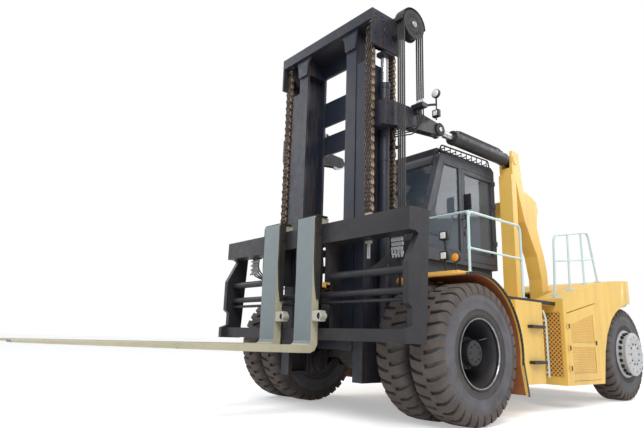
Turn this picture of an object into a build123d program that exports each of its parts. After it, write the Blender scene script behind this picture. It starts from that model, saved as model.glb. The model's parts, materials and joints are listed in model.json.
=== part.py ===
from build123d import *
import os
from math import cos, pi, sin, tan

os.makedirs("parts", exist_ok=True)

# A heavy forklift with twin front wheels, a two-stage mast and tilt cylinders at cab roof height.
# Millimetres. +X is the machine's left, +Y its rear, +Z up, and the ground is z = 0.
# Pieces are drawn with the front axle at y = 0, and save() moves them so that y = 0 is
# the middle of the machine's length.

# Whole machine
wheelbase = 5950.0
fork_reach = 5130.0
rear_overhang = 1400.0
middle_shift = (fork_reach - wheelbase - rear_overhang) / 2
rear_end = wheelbase + rear_overhang
body_half = 1900.0
cab_half = 1000.0
fit = 0.3
round_sides = 16
sheave_sides = 24
arch_sides = 36
moving_gap = 10.0
pin_play = 1.0
eye_play = 18.0

# Wheels
tyre_radius = 930.0
tyre_width = 490.0
tyre_sides = 28
tread_depth = 45.0
sidewall_radius = 700.0
lug_overlap = 30.0
lug_share = 0.8
rim_radius = 440.0
rim_wall = 35.0
rim_lip = 36.0
bead_inset = 23.0
front_outer_face = 2200.0
dual_spacing = 580.0
rear_outer_face = 1750.0
hub_z = tyre_radius
front_outer_x = front_outer_face - tyre_width / 2
front_inner_x = front_outer_x - dual_spacing
rear_tyre_x = rear_outer_face - tyre_width / 2
spindle_radius = 90.0

# Rear steering
kingpin_x = 1080.0
kingpin_radius = 45.0
knuckle_height = 400.0
yoke_thickness = 80.0
steer_arm = 240.0

# Main frame
frame_inner = 600.0
frame_outer = 950.0
frame_top = 1650.0
frame_bottom = 620.0
axle_radius = 170.0
axle_pad_top = hub_z + 200.0

# Mast
mast_front = -950.0
mast_rear = -500.0
inner_low_x = 500.0
inner_high_x = 725.0
outer_low_x = inner_high_x + moving_gap
outer_high_x = 930.0
flange = 45.0
outer_top = 5320.0
outer_bottom = 480.0
inner_bottom = 900.0
mast_top = 6100.0
top_beam = 180.0
mast_half = 1156.0
lift_down = 385.0
lift_up = 2300.0
mast_pivot_y = -400.0
mast_pivot_z = 700.0
mast_pin_radius = 55.0
lift_x = 1015.0
lift_y = -600.0
barrel_radius = 82.0
rod_radius = 62.0
barrel_bottom = 1050.0
barrel_top = 4990.0
head_bottom = 5450.0
head_top = 5570.0

# Chains and hoses
chain_x = 1030.0
chain_width = 170.0
chain_depth = 80.0
sheave_radius = 280.0
sheave_y = -700.0
sheave_z = 5810.0
chain_low = 2850.0
anchor_z = 2600.0
hose_radius = 14.0
hose_x = (1320.0, 1360.0, 1400.0, 1440.0)
hose_sheave_y = -400.0
hose_sheave_z = 5930.0
hose_sheave_radius = 280.0
hose_turn = 220.0
hose_clamp_z = 4620.0

# Carriage
carriage_half = 2140.0
carriage_front = -1354.0
carriage_rear = -1100.0
beam_top = 2690.0
beam_height = 290.0
low_beam_top = 1200.0
low_beam_bottom = 1040.0
end_plate = 90.0
guide_low_x = 410.0
guide_high_x = 490.0
roller_radius = (mast_rear - mast_front) / 2 - flange - fit

# Forks
fork_width = 385.0
fork_thickness = 125.0
fork_top = 965.0
fork_bottom = 880.0
fork_tip = 25.0
shank_top = 2800.0
left_fork_x = 262.0
right_fork_x = -612.0

# Tilt cylinders and the frame that holds them
tilt_x = 1200.0
tilt_z = 4450.0
tilt_eye_y = 440.0
tilt_pivot_y = 2660.0
tilt_barrel_radius = 115.0
tilt_rod_radius = 62.0
tilt_barrel_front = 860.0
tilt_eye_radius = 125.0
tilt_eye_half = 42.0
tilt_pin_radius = 50.0
cheek = 28.0

# Cab
cab_bottom = 2350.0
cab_wall = 60.0
door_front = 1400.0
door_rear = 2400.0
door_low = 2430.0
door_high = 4080.0
glass = 8.0

# Deck, fenders and tanks
deck_top = 2080.0
deck_thickness = 60.0
walk_top = 1800.0
fender_radius = 1050.0
fender_thickness = 20.0
tank_inner = 1200.0
rail_radius = 22.0

# Hood, engine and counterweight
hood_front = 2970.0
hood_wall = 30.0
hood_rear = wheelbase - 750.0
sill_z = 400.0
side_door_front = 3080.0
side_door_rear = wheelbase - 1700.0
side_door_low = 470.0
arch_top = 1950.0

# The edge of the arch over the steered wheels as (distance behind their axle, height), and the
# line behind that edge, roomier at the top, which clears the tyres at full steering lock
arch_edge = ((-1530.0, sill_z), (-1400.0, 970.0), (-1250.0, 1290.0), (-1000.0, 1580.0), (-750.0, 1740.0),
             (-500.0, 1840.0), (-120.0, arch_top))
arch_room = ((-1530.0, sill_z), (-1400.0, 970.0), (-1260.0, 1300.0), (-1040.0, 1650.0), (-750.0, 1880.0),
             (-500.0, 1970.0), (-120.0, 2010.0))
arch_skin = 60.0
rear_member_inner = 220.0
rear_member_outer = 460.0
rear_member_end = wheelbase + 490.0


def save(name, builder):
    """Label a finished piece, move it to the machine's own origin and write it."""
    piece = builder.part.moved(Location((0, middle_shift, 0)))
    piece.label = name
    export_step(piece, f"parts/{name}.step")


def slab(x, y, z, mode=Mode.ADD):
    """A box given by its low and high x, y and z."""
    with Locations(((x[0] + x[1]) / 2, (y[0] + y[1]) / 2, (z[0] + z[1]) / 2)):
        Box(x[1] - x[0], y[1] - y[0], z[1] - z[0], mode=mode)


def side_plate(points, x0, x1, mode=Mode.ADD, inset=0.0):
    """A plate whose (y, z) outline, drawn in by inset, is extruded from x0 to x1."""
    with BuildSketch(Plane.YZ.offset(x0)) as outline:
        with BuildLine():
            Polyline(*points, close=True)
        make_face()
        if inset:
            offset(amount=-inset, kind=Kind.INTERSECTION, mode=Mode.REPLACE)
    extrude(outline.sketch, amount=x1 - x0, mode=mode)


def front_plate(points, y0, y1, mode=Mode.ADD):
    """A plate whose (x, z) outline is extruded from y0 to y1."""
    with BuildSketch(Plane.XZ.offset(-y1)) as outline:
        with BuildLine():
            Polyline(*points, close=True)
        make_face()
    extrude(outline.sketch, amount=y1 - y0, mode=mode)


def bar(start, end, radius, mode=Mode.ADD, sides=0):
    """A round bar from start to end; with sides it has that many flat sides around the circle."""
    run = Vector(*end) - Vector(*start)
    with BuildSketch(Plane(origin=start, z_dir=run)) as section:
        if sides:
            RegularPolygon(radius, sides, major_radius=False, rotation=180 / sides)
        else:
            Circle(radius)
    extrude(section.sketch, amount=run.length, mode=mode)


def tube(points, radius, sides=0):
    """A pipe along a broken line; with sides it has that many flat sides."""
    with BuildLine() as path:
        Polyline(*points)
    with BuildSketch(Plane(origin=path.line @ 0, z_dir=path.line % 0)) as section:
        if sides:
            RegularPolygon(radius, sides)
        else:
            Circle(radius)
    sweep(section.sketch, path=path.line, transition=Transition.RIGHT)


def carcass(profile):
    """A many-sided ring at y = 0 about the axle line, from a closed profile of (x, radius)."""
    corner = 1 / cos(pi / tyre_sides)
    edges = []
    for side in range(tyre_sides):
        angle = 2 * pi * (side + 0.5) / tyre_sides
        edges.append([Vector(x, radius * corner * cos(angle), hub_z + radius * corner * sin(angle))
                      for x, radius in profile])
    faces = []
    for side in range(tyre_sides):
        here, there = edges[side], edges[(side + 1) % tyre_sides]
        for step in range(len(profile)):
            after = (step + 1) % len(profile)
            faces.append(Face(Wire.make_polygon([here[step], here[after], there[after], there[step]])))
    add(Solid(Shell(faces)))


def drum(x0, x1, radius, y_mid, sides=tyre_sides, mode=Mode.ADD):
    """A many-sided drum about a wheel's axle line, from one x to another."""
    with BuildSketch(Plane.YZ.offset(min(x0, x1))) as outline:
        with Locations((y_mid, hub_z)):
            RegularPolygon(radius, sides, major_radius=False, rotation=180 / sides)
    extrude(outline.sketch, amount=abs(x1 - x0), mode=mode)


def axle_bar(x0, x1, radius, y_mid, mode=Mode.ADD):
    """A round spindle or its bore on a wheel's axle line."""
    bar((x0, y_mid, hub_z), (x1, y_mid, hub_z), radius, mode=mode)


def tyre():
    """A tyre at x = y = 0 with staggered shoulder lugs on a hollow-beaded carcass."""
    half = tyre_width / 2
    shoulder = half * 0.75
    carcass_radius = tyre_radius - tread_depth
    bead = rim_radius + rim_lip
    side_profile = ((shoulder, carcass_radius), (half, sidewall_radius), (half - bead_inset, bead),
                    (half - bead_inset, rim_radius + fit))
    carcass([*side_profile, *[(-x, radius) for x, radius in reversed(side_profile)]])
    root = carcass_radius - tread_depth
    lug_profile = ((-lug_overlap, root), (-lug_overlap, tyre_radius), (shoulder + 16, tyre_radius),
                   (half - 5, sidewall_radius + 4), (shoulder - 40, sidewall_radius + 4))
    lug_half = lug_share * carcass_radius * tan(pi / tyre_sides)
    lug_faces = []
    for side in range(tyre_sides):
        hand = 1 if side % 2 else -1
        angle = 2 * pi * side / tyre_sides - pi / 2
        plane = Plane(origin=(0, 0, hub_z), x_dir=(1, 0, 0), z_dir=(0, -sin(angle), cos(angle)))
        with BuildSketch(plane) as lug:
            with BuildLine():
                Polyline(*[(hand * x, radius) for x, radius in lug_profile], close=True)
            make_face()
        lug_faces.extend(lug.sketch.faces())
    extrude(lug_faces, amount=lug_half, both=True)


def rim(x_low, x_high, disc_low, disc_high, beads, y_mid):
    """A rim barrel with lips at the beads and one disc across it."""
    drum(x_low, x_high, rim_radius, y_mid)
    for bead_low, bead_high in beads:
        drum(bead_low, bead_high, rim_radius + rim_lip, y_mid)
    bore = rim_radius - rim_wall
    ends = sorted((x_low, x_high))
    discs = sorted((disc_low, disc_high))
    drum(ends[0] - 1, discs[0], bore, y_mid, mode=Mode.SUBTRACT)
    drum(discs[1], ends[1] + 1, bore, y_mid, mode=Mode.SUBTRACT)


bead_half = tyre_width / 2 - bead_inset

with BuildPart() as plain_tyre:
    tyre()

# Front wheels, twin on each side
for side_name, side in (("left", 1), ("right", -1)):
    with BuildPart() as front_tyres:
        with Locations((side * front_outer_x, 0, 0), (side * front_inner_x, 0, 0)):
            add(plain_tyre.part)
    save(f"front_tyres_{side_name}", front_tyres)

    disc_x = (front_outer_x + front_inner_x) / 2
    hub_end = front_outer_x + 150
    low, high = front_inner_x - bead_half - 14, front_outer_x + bead_half + 14
    beads = ((side * low, side * (front_inner_x - bead_half - fit)),
             (side * (front_inner_x + bead_half + fit), side * (front_outer_x - bead_half - fit)),
             (side * (front_outer_x + bead_half + fit), side * high))
    with BuildPart() as front_rims:
        rim(side * low, side * high, side * (disc_x - 20), side * (disc_x + 20), beads, 0)
        drum(side * disc_x, side * (disc_x + 60), 310, 0, sides=round_sides)
        drum(side * disc_x, side * hub_end, 220, 0, sides=round_sides)
        drum(side * (disc_x - 180), side * disc_x, 230, 0, sides=round_sides)
        axle_bar(side * (disc_x - 200), side * (front_outer_x + 60), spindle_radius + pin_play, 0,
                 mode=Mode.SUBTRACT)
    save(f"front_rims_{side_name}", front_rims)

# Drive axle with its brake drums and spindles
drum_inner = front_inner_x - bead_half - 60
drum_outer = disc_x - 200
with BuildPart() as front_axle:
    drum(-180, 180, 340, 0, sides=round_sides)
    drum(-drum_inner - 1, drum_inner + 1, axle_radius, 0, sides=round_sides)
    for side in (1, -1):
        drum(side * 180, side * 300, 290, 0, sides=round_sides)
        drum(side * 300, side * 400, 220, 0, sides=round_sides)
        drum(side * drum_inner, side * drum_outer, 300, 0, sides=sheave_sides)
        axle_bar(side * drum_outer, side * (front_outer_x + 40), spindle_radius, 0)
    for side in (1, -1):
        low_x = side * (frame_inner + frame_outer) / 2
        slab((low_x - 150, low_x + 150), (-axle_radius, axle_radius), (hub_z, axle_pad_top))
save("front_axle", front_axle)

# Steer axle: beam, yokes for the kingpins, centre mount and steering cylinder
beam_end = kingpin_x - 330
yoke_post = kingpin_x - 165
yoke_low = hub_z - knuckle_height / 2
yoke_high = hub_z + knuckle_height / 2
frame_rear_bottom = 1220.0
with BuildPart() as rear_axle:
    side_plate([(wheelbase - 180, hub_z - 180), (wheelbase + 180, hub_z - 180),
                (wheelbase + 180, hub_z + 120),
                (wheelbase + 120, hub_z + 180), (wheelbase - 120, hub_z + 180),
                (wheelbase - 180, hub_z + 120)],
               -beam_end, beam_end)
    for side in (1, -1):
        for z0, z1 in ((yoke_low - yoke_thickness, yoke_low), (yoke_high, yoke_high + yoke_thickness)):
            with BuildSketch(Plane.XY.offset(z0)) as yoke:
                with Locations((side * kingpin_x, wheelbase)):
                    RegularPolygon(90, round_sides)
                with Locations((side * (kingpin_x - 100), wheelbase)):
                    Rectangle(200, 160)
                with Locations((side * kingpin_x, wheelbase)):
                    RegularPolygon(kingpin_radius + pin_play, round_sides, major_radius=False,
                                   mode=Mode.SUBTRACT)
            extrude(yoke.sketch, amount=z1 - z0)
        slab(sorted((side * (beam_end - 40), side * yoke_post)), (wheelbase - 80, wheelbase + 80),
             (yoke_low - yoke_thickness, yoke_high + yoke_thickness))
    side_plate([(wheelbase - 260, frame_rear_bottom), (wheelbase - 140, hub_z), (wheelbase + 140, hub_z),
                (wheelbase + 260, frame_rear_bottom)], -300, 300)
    bar((-420, wheelbase - 320, hub_z), (420, wheelbase - 320, hub_z), 75, sides=round_sides)
    bar((-430, wheelbase - 320, hub_z), (430, wheelbase - 320, hub_z), 40 + pin_play, mode=Mode.SUBTRACT,
        sides=round_sides)
    slab((-380, -280), (wheelbase - 260, wheelbase - 150), (hub_z - 60, hub_z + 60))
    slab((280, 380), (wheelbase - 260, wheelbase - 150), (hub_z - 60, hub_z + 60))
save("rear_axle", rear_axle)

with BuildPart() as steering_rod:
    bar((-980, wheelbase - 320, hub_z), (980, wheelbase - 320, hub_z), 40, sides=round_sides)
save("steering_rod", steering_rod)

for side_name, side in (("left", 1), ("right", -1)):
    with BuildPart() as knuckle:
        bar((side * kingpin_x, wheelbase, yoke_low - yoke_thickness - 20),
            (side * kingpin_x, wheelbase, yoke_high + yoke_thickness + 20), kingpin_radius)
        bar((side * kingpin_x, wheelbase, yoke_low + fit), (side * kingpin_x, wheelbase, yoke_high - fit),
            80,
            sides=round_sides)
        drum(side * (kingpin_x + 40), side * (kingpin_x + 160), 130, wheelbase, sides=round_sides)
        axle_bar(side * (kingpin_x + 150), side * (rear_tyre_x + 120), spindle_radius, wheelbase)
        slab(sorted((side * (kingpin_x - 35), side * (kingpin_x + 35))),
             (wheelbase - steer_arm, wheelbase - 60),
             (hub_z - 40, hub_z + 40))
    save(f"rear_knuckle_{side_name}", knuckle)

    with BuildPart() as rear_tyre:
        with Locations((side * rear_tyre_x, wheelbase, 0)):
            add(plain_tyre.part)
    save(f"rear_tyre_{side_name}", rear_tyre)

    low, high = rear_tyre_x - bead_half - 14, rear_tyre_x + bead_half + 14
    beads = ((side * low, side * (rear_tyre_x - bead_half - fit)),
             (side * (rear_tyre_x + bead_half + fit), side * high))
    with BuildPart() as rear_rim:
        rim(side * low, side * high, side * (rear_tyre_x + 60), side * (rear_tyre_x + 110), beads,
            wheelbase)
        drum(side * (rear_tyre_x + 80), side * (rear_tyre_x + 370), 380, wheelbase, sides=sheave_sides)
        drum(side * (rear_tyre_x + 360), side * (rear_tyre_x + 410), 430, wheelbase)
        drum(side * (rear_tyre_x - 60), side * (rear_tyre_x + 80), 220, wheelbase, sides=round_sides)
        axle_bar(side * (rear_tyre_x - 80), side * (rear_tyre_x + 140), spindle_radius + pin_play,
                 wheelbase,
                 mode=Mode.SUBTRACT)
    save(f"rear_rim_{side_name}", rear_rim)

# Main frame: two deep side members over the drive axle, cross plates, outriggers and mast lugs
member_rear = wheelbase - 1150
member = [(-285, 560), (-285, 1200), (-200, 1500), (-160, frame_top), (member_rear, frame_top),
          (member_rear, frame_rear_bottom), (member_rear - 200, frame_bottom), (350, frame_bottom),
          (300, axle_pad_top), (-235, axle_pad_top), (-235, 560)]
tower_low = tilt_x - 130
tower_high = tilt_x + 130
leg_foot = (3300.0, 3640.0, tower_high)
post_foot = (2500.0, 2640.0, tower_high)
tank_bracket = (1500.0, 1640.0, tank_inner)
with BuildPart() as chassis_frame:
    for side in (1, -1):
        low_x, high_x = sorted((side * frame_inner, side * frame_outer))
        side_plate(member, low_x, high_x)
        slab(sorted((side * rear_member_inner, side * rear_member_outer)),
             (member_rear - 300, rear_member_end),
             (frame_rear_bottom, arch_top))
        for y0, y1, reach in (leg_foot, post_foot, tank_bracket):
            slab(sorted((side * (frame_outer - 10), side * reach)), (y0, y1), (1250, frame_top))
        for inner, outer in ((650, 650 + cheek * 2), (outer_high_x + moving_gap,
                                                      outer_high_x + moving_gap + cheek * 2)):
            side_plate([(-236, 560), (-236, 900), (-370, 850), (-470, 740), (-470, 660), (-370, 560)],
                       *sorted((side * inner, side * outer)))
        bar((side * 650, mast_pivot_y, mast_pivot_z), (side * (outer_high_x + 70), mast_pivot_y,
                                                       mast_pivot_z),
            mast_pin_radius)
    slab((-frame_inner, frame_inner), (-200, -120), (1300, frame_top - 60))
    slab((-frame_inner, frame_inner), (1300, 1400), (frame_bottom, frame_top))
    slab((-frame_inner, frame_inner), (2500, 2640), (frame_bottom, frame_top))
    slab((-frame_inner, frame_inner), (3420, 3560), (frame_bottom, frame_top))
    slab((-frame_outer, frame_outer), (member_rear - 80, member_rear), (frame_rear_bottom, frame_top))
save("chassis_frame", chassis_frame)

# Engine as one block at its real place
with BuildPart() as engine:
    slab((-480, 480), (3660, wheelbase - 1470), (820, 1620))
    for side in (1, -1):
        for y0 in (3720, wheelbase - 1650):
            slab(sorted((side * 470, side * frame_inner)), (y0, y0 + 120), (1150, 1300))
save("engine", engine)

# Outer mast: channel uprights, rear cross plates, feet, arms to the tilt rods
arm_inner = tilt_x - tilt_eye_half - 5 - cheek
arm_outer = tilt_x + tilt_eye_half + 5
arm_profile = [(-860, 4180), (-860, 4600), (-300, 4620), (tilt_eye_y + 60, 4540), (tilt_eye_y + 105, 4450),
               (tilt_eye_y + 60, 4360), (-300, 4280)]
with BuildPart() as outer_mast:
    for side in (1, -1):
        low_x, high_x = sorted((side * outer_low_x, side * outer_high_x))
        slab((low_x, high_x), (mast_front + 10, mast_rear), (outer_bottom, outer_top))
        slab(sorted((side * (outer_low_x - 1), side * (outer_high_x - 50))),
             (mast_front + 10 + flange * 1.5, mast_rear - flange * 1.5),
             (outer_bottom + 60, outer_top + 1), mode=Mode.SUBTRACT)
        side_plate([(mast_rear - 10, outer_bottom), (mast_rear - 10, 980), (mast_pivot_y + 20, 790),
                    (mast_pivot_y + 90, 740), (mast_pivot_y + 90, 660), (mast_pivot_y + 40, 610),
                    (mast_rear + 20, outer_bottom)],
                   *sorted((side * (650 + cheek * 2 + 5), side * (outer_high_x - 5))))
        bar((side * 700, mast_pivot_y, mast_pivot_z), (side * outer_high_x, mast_pivot_y, mast_pivot_z),
            mast_pin_radius + pin_play, mode=Mode.SUBTRACT)
        slab(sorted((side * (outer_high_x - 10), side * (lift_x + barrel_radius))),
             (lift_y - 70, lift_y + 70),
             (barrel_bottom - 70, barrel_bottom))
        side_plate(arm_profile, *sorted((side * arm_inner, side * (arm_inner + cheek))))
        side_plate(arm_profile, *sorted((side * arm_outer, side * (arm_outer + cheek))))
        bar((side * arm_inner, tilt_eye_y, tilt_z), (side * (arm_outer + cheek), tilt_eye_y, tilt_z),
            tilt_pin_radius,
            sides=round_sides)
        slab(sorted((side * (outer_high_x - 10), side * (arm_outer + cheek))),
             (-860, lift_y - barrel_radius - 10), (4200, 4580))
        slab(sorted((side * (outer_high_x - 10), side * (chain_x + chain_width / 2))),
             (mast_rear - 14, -400),
             (anchor_z - 80, anchor_z))
        slab(sorted((side * (arm_outer - 5), side * (hose_x[-1] + 30))), (-240, -120),
             (hose_clamp_z - 20, hose_clamp_z + 50))
    for z0, z1 in ((900, 1150), (4200, 4550), (4750, 5200)):
        slab((-outer_low_x - 100, outer_low_x + 100), (mast_rear - 1, mast_rear + 40), (z0, z1))
save("outer_mast", outer_mast)

with BuildPart() as lift_cylinders:
    for side in (1, -1):
        bar((side * lift_x, lift_y, barrel_bottom), (side * lift_x, lift_y, barrel_top), barrel_radius,
            sides=round_sides)
        bar((side * lift_x, lift_y, barrel_bottom + 60), (side * lift_x, lift_y, barrel_top),
            rod_radius + fit,
            mode=Mode.SUBTRACT, sides=round_sides)
save("lift_cylinders", lift_cylinders)

with BuildPart() as lift_rods:
    for side in (1, -1):
        bar((side * lift_x, lift_y, barrel_top - lift_up - 300), (side * lift_x, lift_y, head_bottom),
            rod_radius,
            sides=round_sides)
save("lift_rods", lift_rods)

# Inner mast: uprights, top beam with arched gussets, crosshead on the rods, end plates
gusset_reach = 110.0
gusset_drop = 320.0
beam_low = mast_top - top_beam
beam_front = mast_front - 80
with BuildPart() as inner_mast:
    for side in (1, -1):
        slab(sorted((side * inner_low_x, side * inner_high_x)), (mast_front, mast_rear - 10),
             (inner_bottom, beam_low))
        slab(sorted((side * (inner_low_x - 1), side * (inner_high_x - 85))),
             (mast_front + flange, mast_rear - 10 - flange),
             (inner_bottom - 1, beam_low - 300), mode=Mode.SUBTRACT)
        front_plate([(side * (inner_low_x - gusset_reach), beam_low),
                     (side * (inner_low_x - 30), beam_low - 110),
                     (side * inner_low_x, beam_low - gusset_drop),
                     (side * inner_high_x, beam_low - gusset_drop),
                     (side * (inner_high_x + 30), beam_low - 110), (side * (inner_high_x + 60), beam_low)],
                    mast_front - 35, mast_front + 1)
        slab(sorted((side * (outer_high_x + moving_gap), side * (mast_half - 10))),
             (lift_y - 110, mast_rear - 10),
             (head_bottom, sheave_z - sheave_radius - 15))
        slab(sorted((side * (mast_half - 34), side * mast_half)), (beam_front, mast_rear + 90),
             (head_bottom + 40, mast_top))
        for z0 in (inner_bottom, inner_bottom + 1500):
            slab(sorted((side * (inner_high_x - 1), side * (outer_low_x - fit))),
                 (mast_front + 20, mast_front + 60),
                 (z0, z0 + 160))
            slab(sorted((side * (inner_high_x - 1), side * (outer_low_x - fit))),
                 (mast_rear - 60, mast_rear - 20),
                 (z0, z0 + 160))
    slab((-mast_half, mast_half), (beam_front, beam_front + 45), (beam_low, mast_top))
    slab((-outer_high_x, outer_high_x), (beam_front + 40, mast_rear - 10), (beam_low - 1, mast_top - 60))
    slab((-inner_low_x - 5, inner_low_x + 5), (mast_rear - 60, mast_rear - 10), (5650, beam_low))
    slab((-inner_low_x - 5, inner_low_x + 5), (mast_rear - 49, mast_rear - 10),
         (inner_bottom, inner_bottom + 260))
save("inner_mast", inner_mast)

# Chain sheaves with the chain's wrap over them
wrap_inner = sheave_radius - chain_depth
with BuildPart() as chain_sheaves:
    for side in (1, -1):
        x0, x1 = sorted((side * (chain_x - chain_width / 2), side * (chain_x + chain_width / 2)))
        with BuildSketch(Plane.YZ.offset(x0)) as wrap:
            with Locations((sheave_y, sheave_z)):
                RegularPolygon(sheave_radius, sheave_sides, major_radius=False, rotation=180 / sheave_sides)
            with Locations((sheave_y, sheave_z - sheave_radius / 2 - 1)):
                Rectangle(sheave_radius * 2 + 2, sheave_radius + 2, mode=Mode.SUBTRACT)
            with Locations((sheave_y, sheave_z)):
                RegularPolygon(wrap_inner, sheave_sides, major_radius=False, rotation=180 / sheave_sides)
        extrude(wrap.sketch, amount=chain_width)
        bar((side * (outer_high_x + fit), sheave_y, sheave_z),
            (side * (mast_half - 34 - fit), sheave_y, sheave_z), 60,
            sides=round_sides)
save("chain_sheaves", chain_sheaves)

with BuildPart() as lift_chains:
    for side in (1, -1):
        slab(sorted((side * (chain_x - chain_width / 2), side * (chain_x + chain_width / 2))),
             (sheave_y - sheave_radius, sheave_y - wrap_inner - fit), (chain_low, sheave_z))
save("lift_chains", lift_chains)

with BuildPart() as rear_chains:
    for side in (1, -1):
        slab(sorted((side * (chain_x - chain_width / 2), side * (chain_x + chain_width / 2))),
             (sheave_y + wrap_inner + fit, sheave_y + sheave_radius), (anchor_z, sheave_z))
save("rear_chains", rear_chains)

# Hose sheaves beside the mast top, each under an arched guard
hose_low = hose_x[0] - hose_radius - 6
hose_high = hose_x[-1] + hose_radius + 6
with BuildPart() as hose_sheaves:
    for side in (1, -1):
        x0, x1 = sorted((side * hose_low, side * hose_high))
        bar((x0, hose_sheave_y, hose_sheave_z), (x1, hose_sheave_y, hose_sheave_z),
            hose_turn - hose_radius - fit,
            sides=sheave_sides)
        for x in (x0, x1 - 6):
            bar((x, hose_sheave_y, hose_sheave_z), (x + 6, hose_sheave_y, hose_sheave_z), hose_turn + 20,
                sides=sheave_sides)
        with BuildSketch(Plane.YZ.offset(x0)) as guard:
            with Locations((hose_sheave_y, hose_sheave_z)):
                RegularPolygon(hose_sheave_radius, sheave_sides)
                RegularPolygon(hose_sheave_radius - 12, sheave_sides, mode=Mode.SUBTRACT)
            with Locations((hose_sheave_y - 40, hose_sheave_z - hose_sheave_radius / 2)):
                Rectangle(hose_sheave_radius * 2 + 100, hose_sheave_radius + 2, mode=Mode.SUBTRACT)
        extrude(guard.sketch, amount=x1 - x0)
        inner_x = sorted((side * mast_half, side * (hose_low - 6)))
        with BuildSketch(Plane.YZ.offset(inner_x[0])) as carrier:
            with BuildLine():
                Polyline((mast_rear - 100, 5750), (mast_rear - 100, mast_top - 40),
                         (hose_sheave_y + 100, mast_top - 20), (hose_sheave_y + 60, hose_sheave_z - 120),
                         close=True)
            make_face()
        extrude(carrier.sketch, amount=inner_x[1] - inner_x[0])
        bar((side * (hose_low - 10), hose_sheave_y, hose_sheave_z),
            (side * (hose_low + 1), hose_sheave_y, hose_sheave_z),
            60, sides=round_sides)
        side_plate([(hose_sheave_y - hose_sheave_radius, hose_sheave_z),
                    (hose_sheave_y + hose_sheave_radius, hose_sheave_z),
                    (hose_sheave_y + 160, hose_sheave_z + 225), (hose_sheave_y - 160, hose_sheave_z + 225)],
                   *sorted((side * (hose_low - 7), side * (hose_low + 1))))
save("hose_sheaves", hose_sheaves)

with BuildPart() as front_hoses:
    for side in (1, -1):
        for x in hose_x:
            tube([(side * x, hose_sheave_y - hose_turn, beam_top - 90),
                  (side * x, hose_sheave_y - hose_turn, hose_sheave_z)],
                 hose_radius, 6)
save("front_hoses", front_hoses)

with BuildPart() as rear_hoses:
    for side in (1, -1):
        for x in hose_x:
            tube([(side * x, hose_sheave_y + hose_turn, hose_clamp_z + 50),
                  (side * x, hose_sheave_y + hose_turn, hose_sheave_z)],
                 hose_radius, 6)
save("rear_hoses", rear_hoses)

# Carriage: beams, end plates, roller guides, chain ears, hose brackets
end_profile = [(-1330, 2700), (-960, 2700), (-1060, 1030), (-1440, 1030), (-1440, 1200), (-1310, 1250),
               (-1310, 1450),
               (-1380, 1500), (-1380, 2000), (-1180, 2370), (-1300, 2430)]
groove_y = (-1260.0, -1200.0)
groove_z = beam_top - 45
with BuildPart() as carriage_frame:
    slab((-carriage_half, carriage_half), (carriage_front, carriage_rear),
         (beam_top - beam_height, beam_top))
    slab((-carriage_half + end_plate, carriage_half - end_plate), groove_y, (groove_z, beam_top + 1),
         mode=Mode.SUBTRACT)
    slab((-carriage_half, carriage_half), (carriage_front, carriage_rear), (low_beam_bottom, low_beam_top))
    for side in (1, -1):
        side_plate(end_profile, *sorted((side * (carriage_half - end_plate), side * carriage_half)))
        slab(sorted((side * guide_low_x, side * guide_high_x)), (carriage_rear - 5, mast_rear - 60),
             (1100, 2560))
        for z in (1420, 2400):
            bar((side * (guide_high_x - 1), (mast_front + mast_rear - 10) / 2, z),
                (side * (inner_high_x - 95), (mast_front + mast_rear - 10) / 2, z), roller_radius - 5,
                sides=sheave_sides)
        slab(sorted((side * (chain_x - 100), side * (chain_x + 100))), (carriage_rear - 5, -880),
             (2480, 2660))
        slab(sorted((side * (hose_low - 10), side * (hose_high + 10))),
             (carriage_rear - 5, hose_sheave_y - hose_turn + 40),
             (beam_top - 150, beam_top - 90))
save("carriage_frame", carriage_frame)

chain_y = sheave_y - sheave_radius + chain_depth / 2
with BuildPart() as chain_anchors:
    for side in (1, -1):
        slab(sorted((side * (chain_x - 75), side * (chain_x + 75))),
             (sheave_y - sheave_radius + 5, sheave_y - wrap_inner - 5),
             (2660, chain_low))
        bar((side * chain_x, chain_y, 2180), (side * chain_x, chain_y, 2480), 28, sides=8)
        bar((side * chain_x, chain_y, 2400), (side * chain_x, chain_y, 2480), 55, sides=8)
save("chain_anchors", chain_anchors)

shaft_y = -1230.0
with BuildPart() as fork_positioner:
    reach = carriage_half - end_plate
    bar((-reach, shaft_y, 1670), (reach, shaft_y, 1670), 45, sides=round_sides)
    bar((-reach, shaft_y, 1560), (reach, shaft_y, 1560), 22, sides=8)
    for side in (1, -1):
        bar((side * (560 + fit), shaft_y, 1930), (side * reach, shaft_y, 1930), 52, sides=round_sides)
        slab(sorted((side * 500, side * 560)), (shaft_y - 60, carriage_rear),
             (1850, beam_top - beam_height))
save("fork_positioner", fork_positioner)

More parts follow.
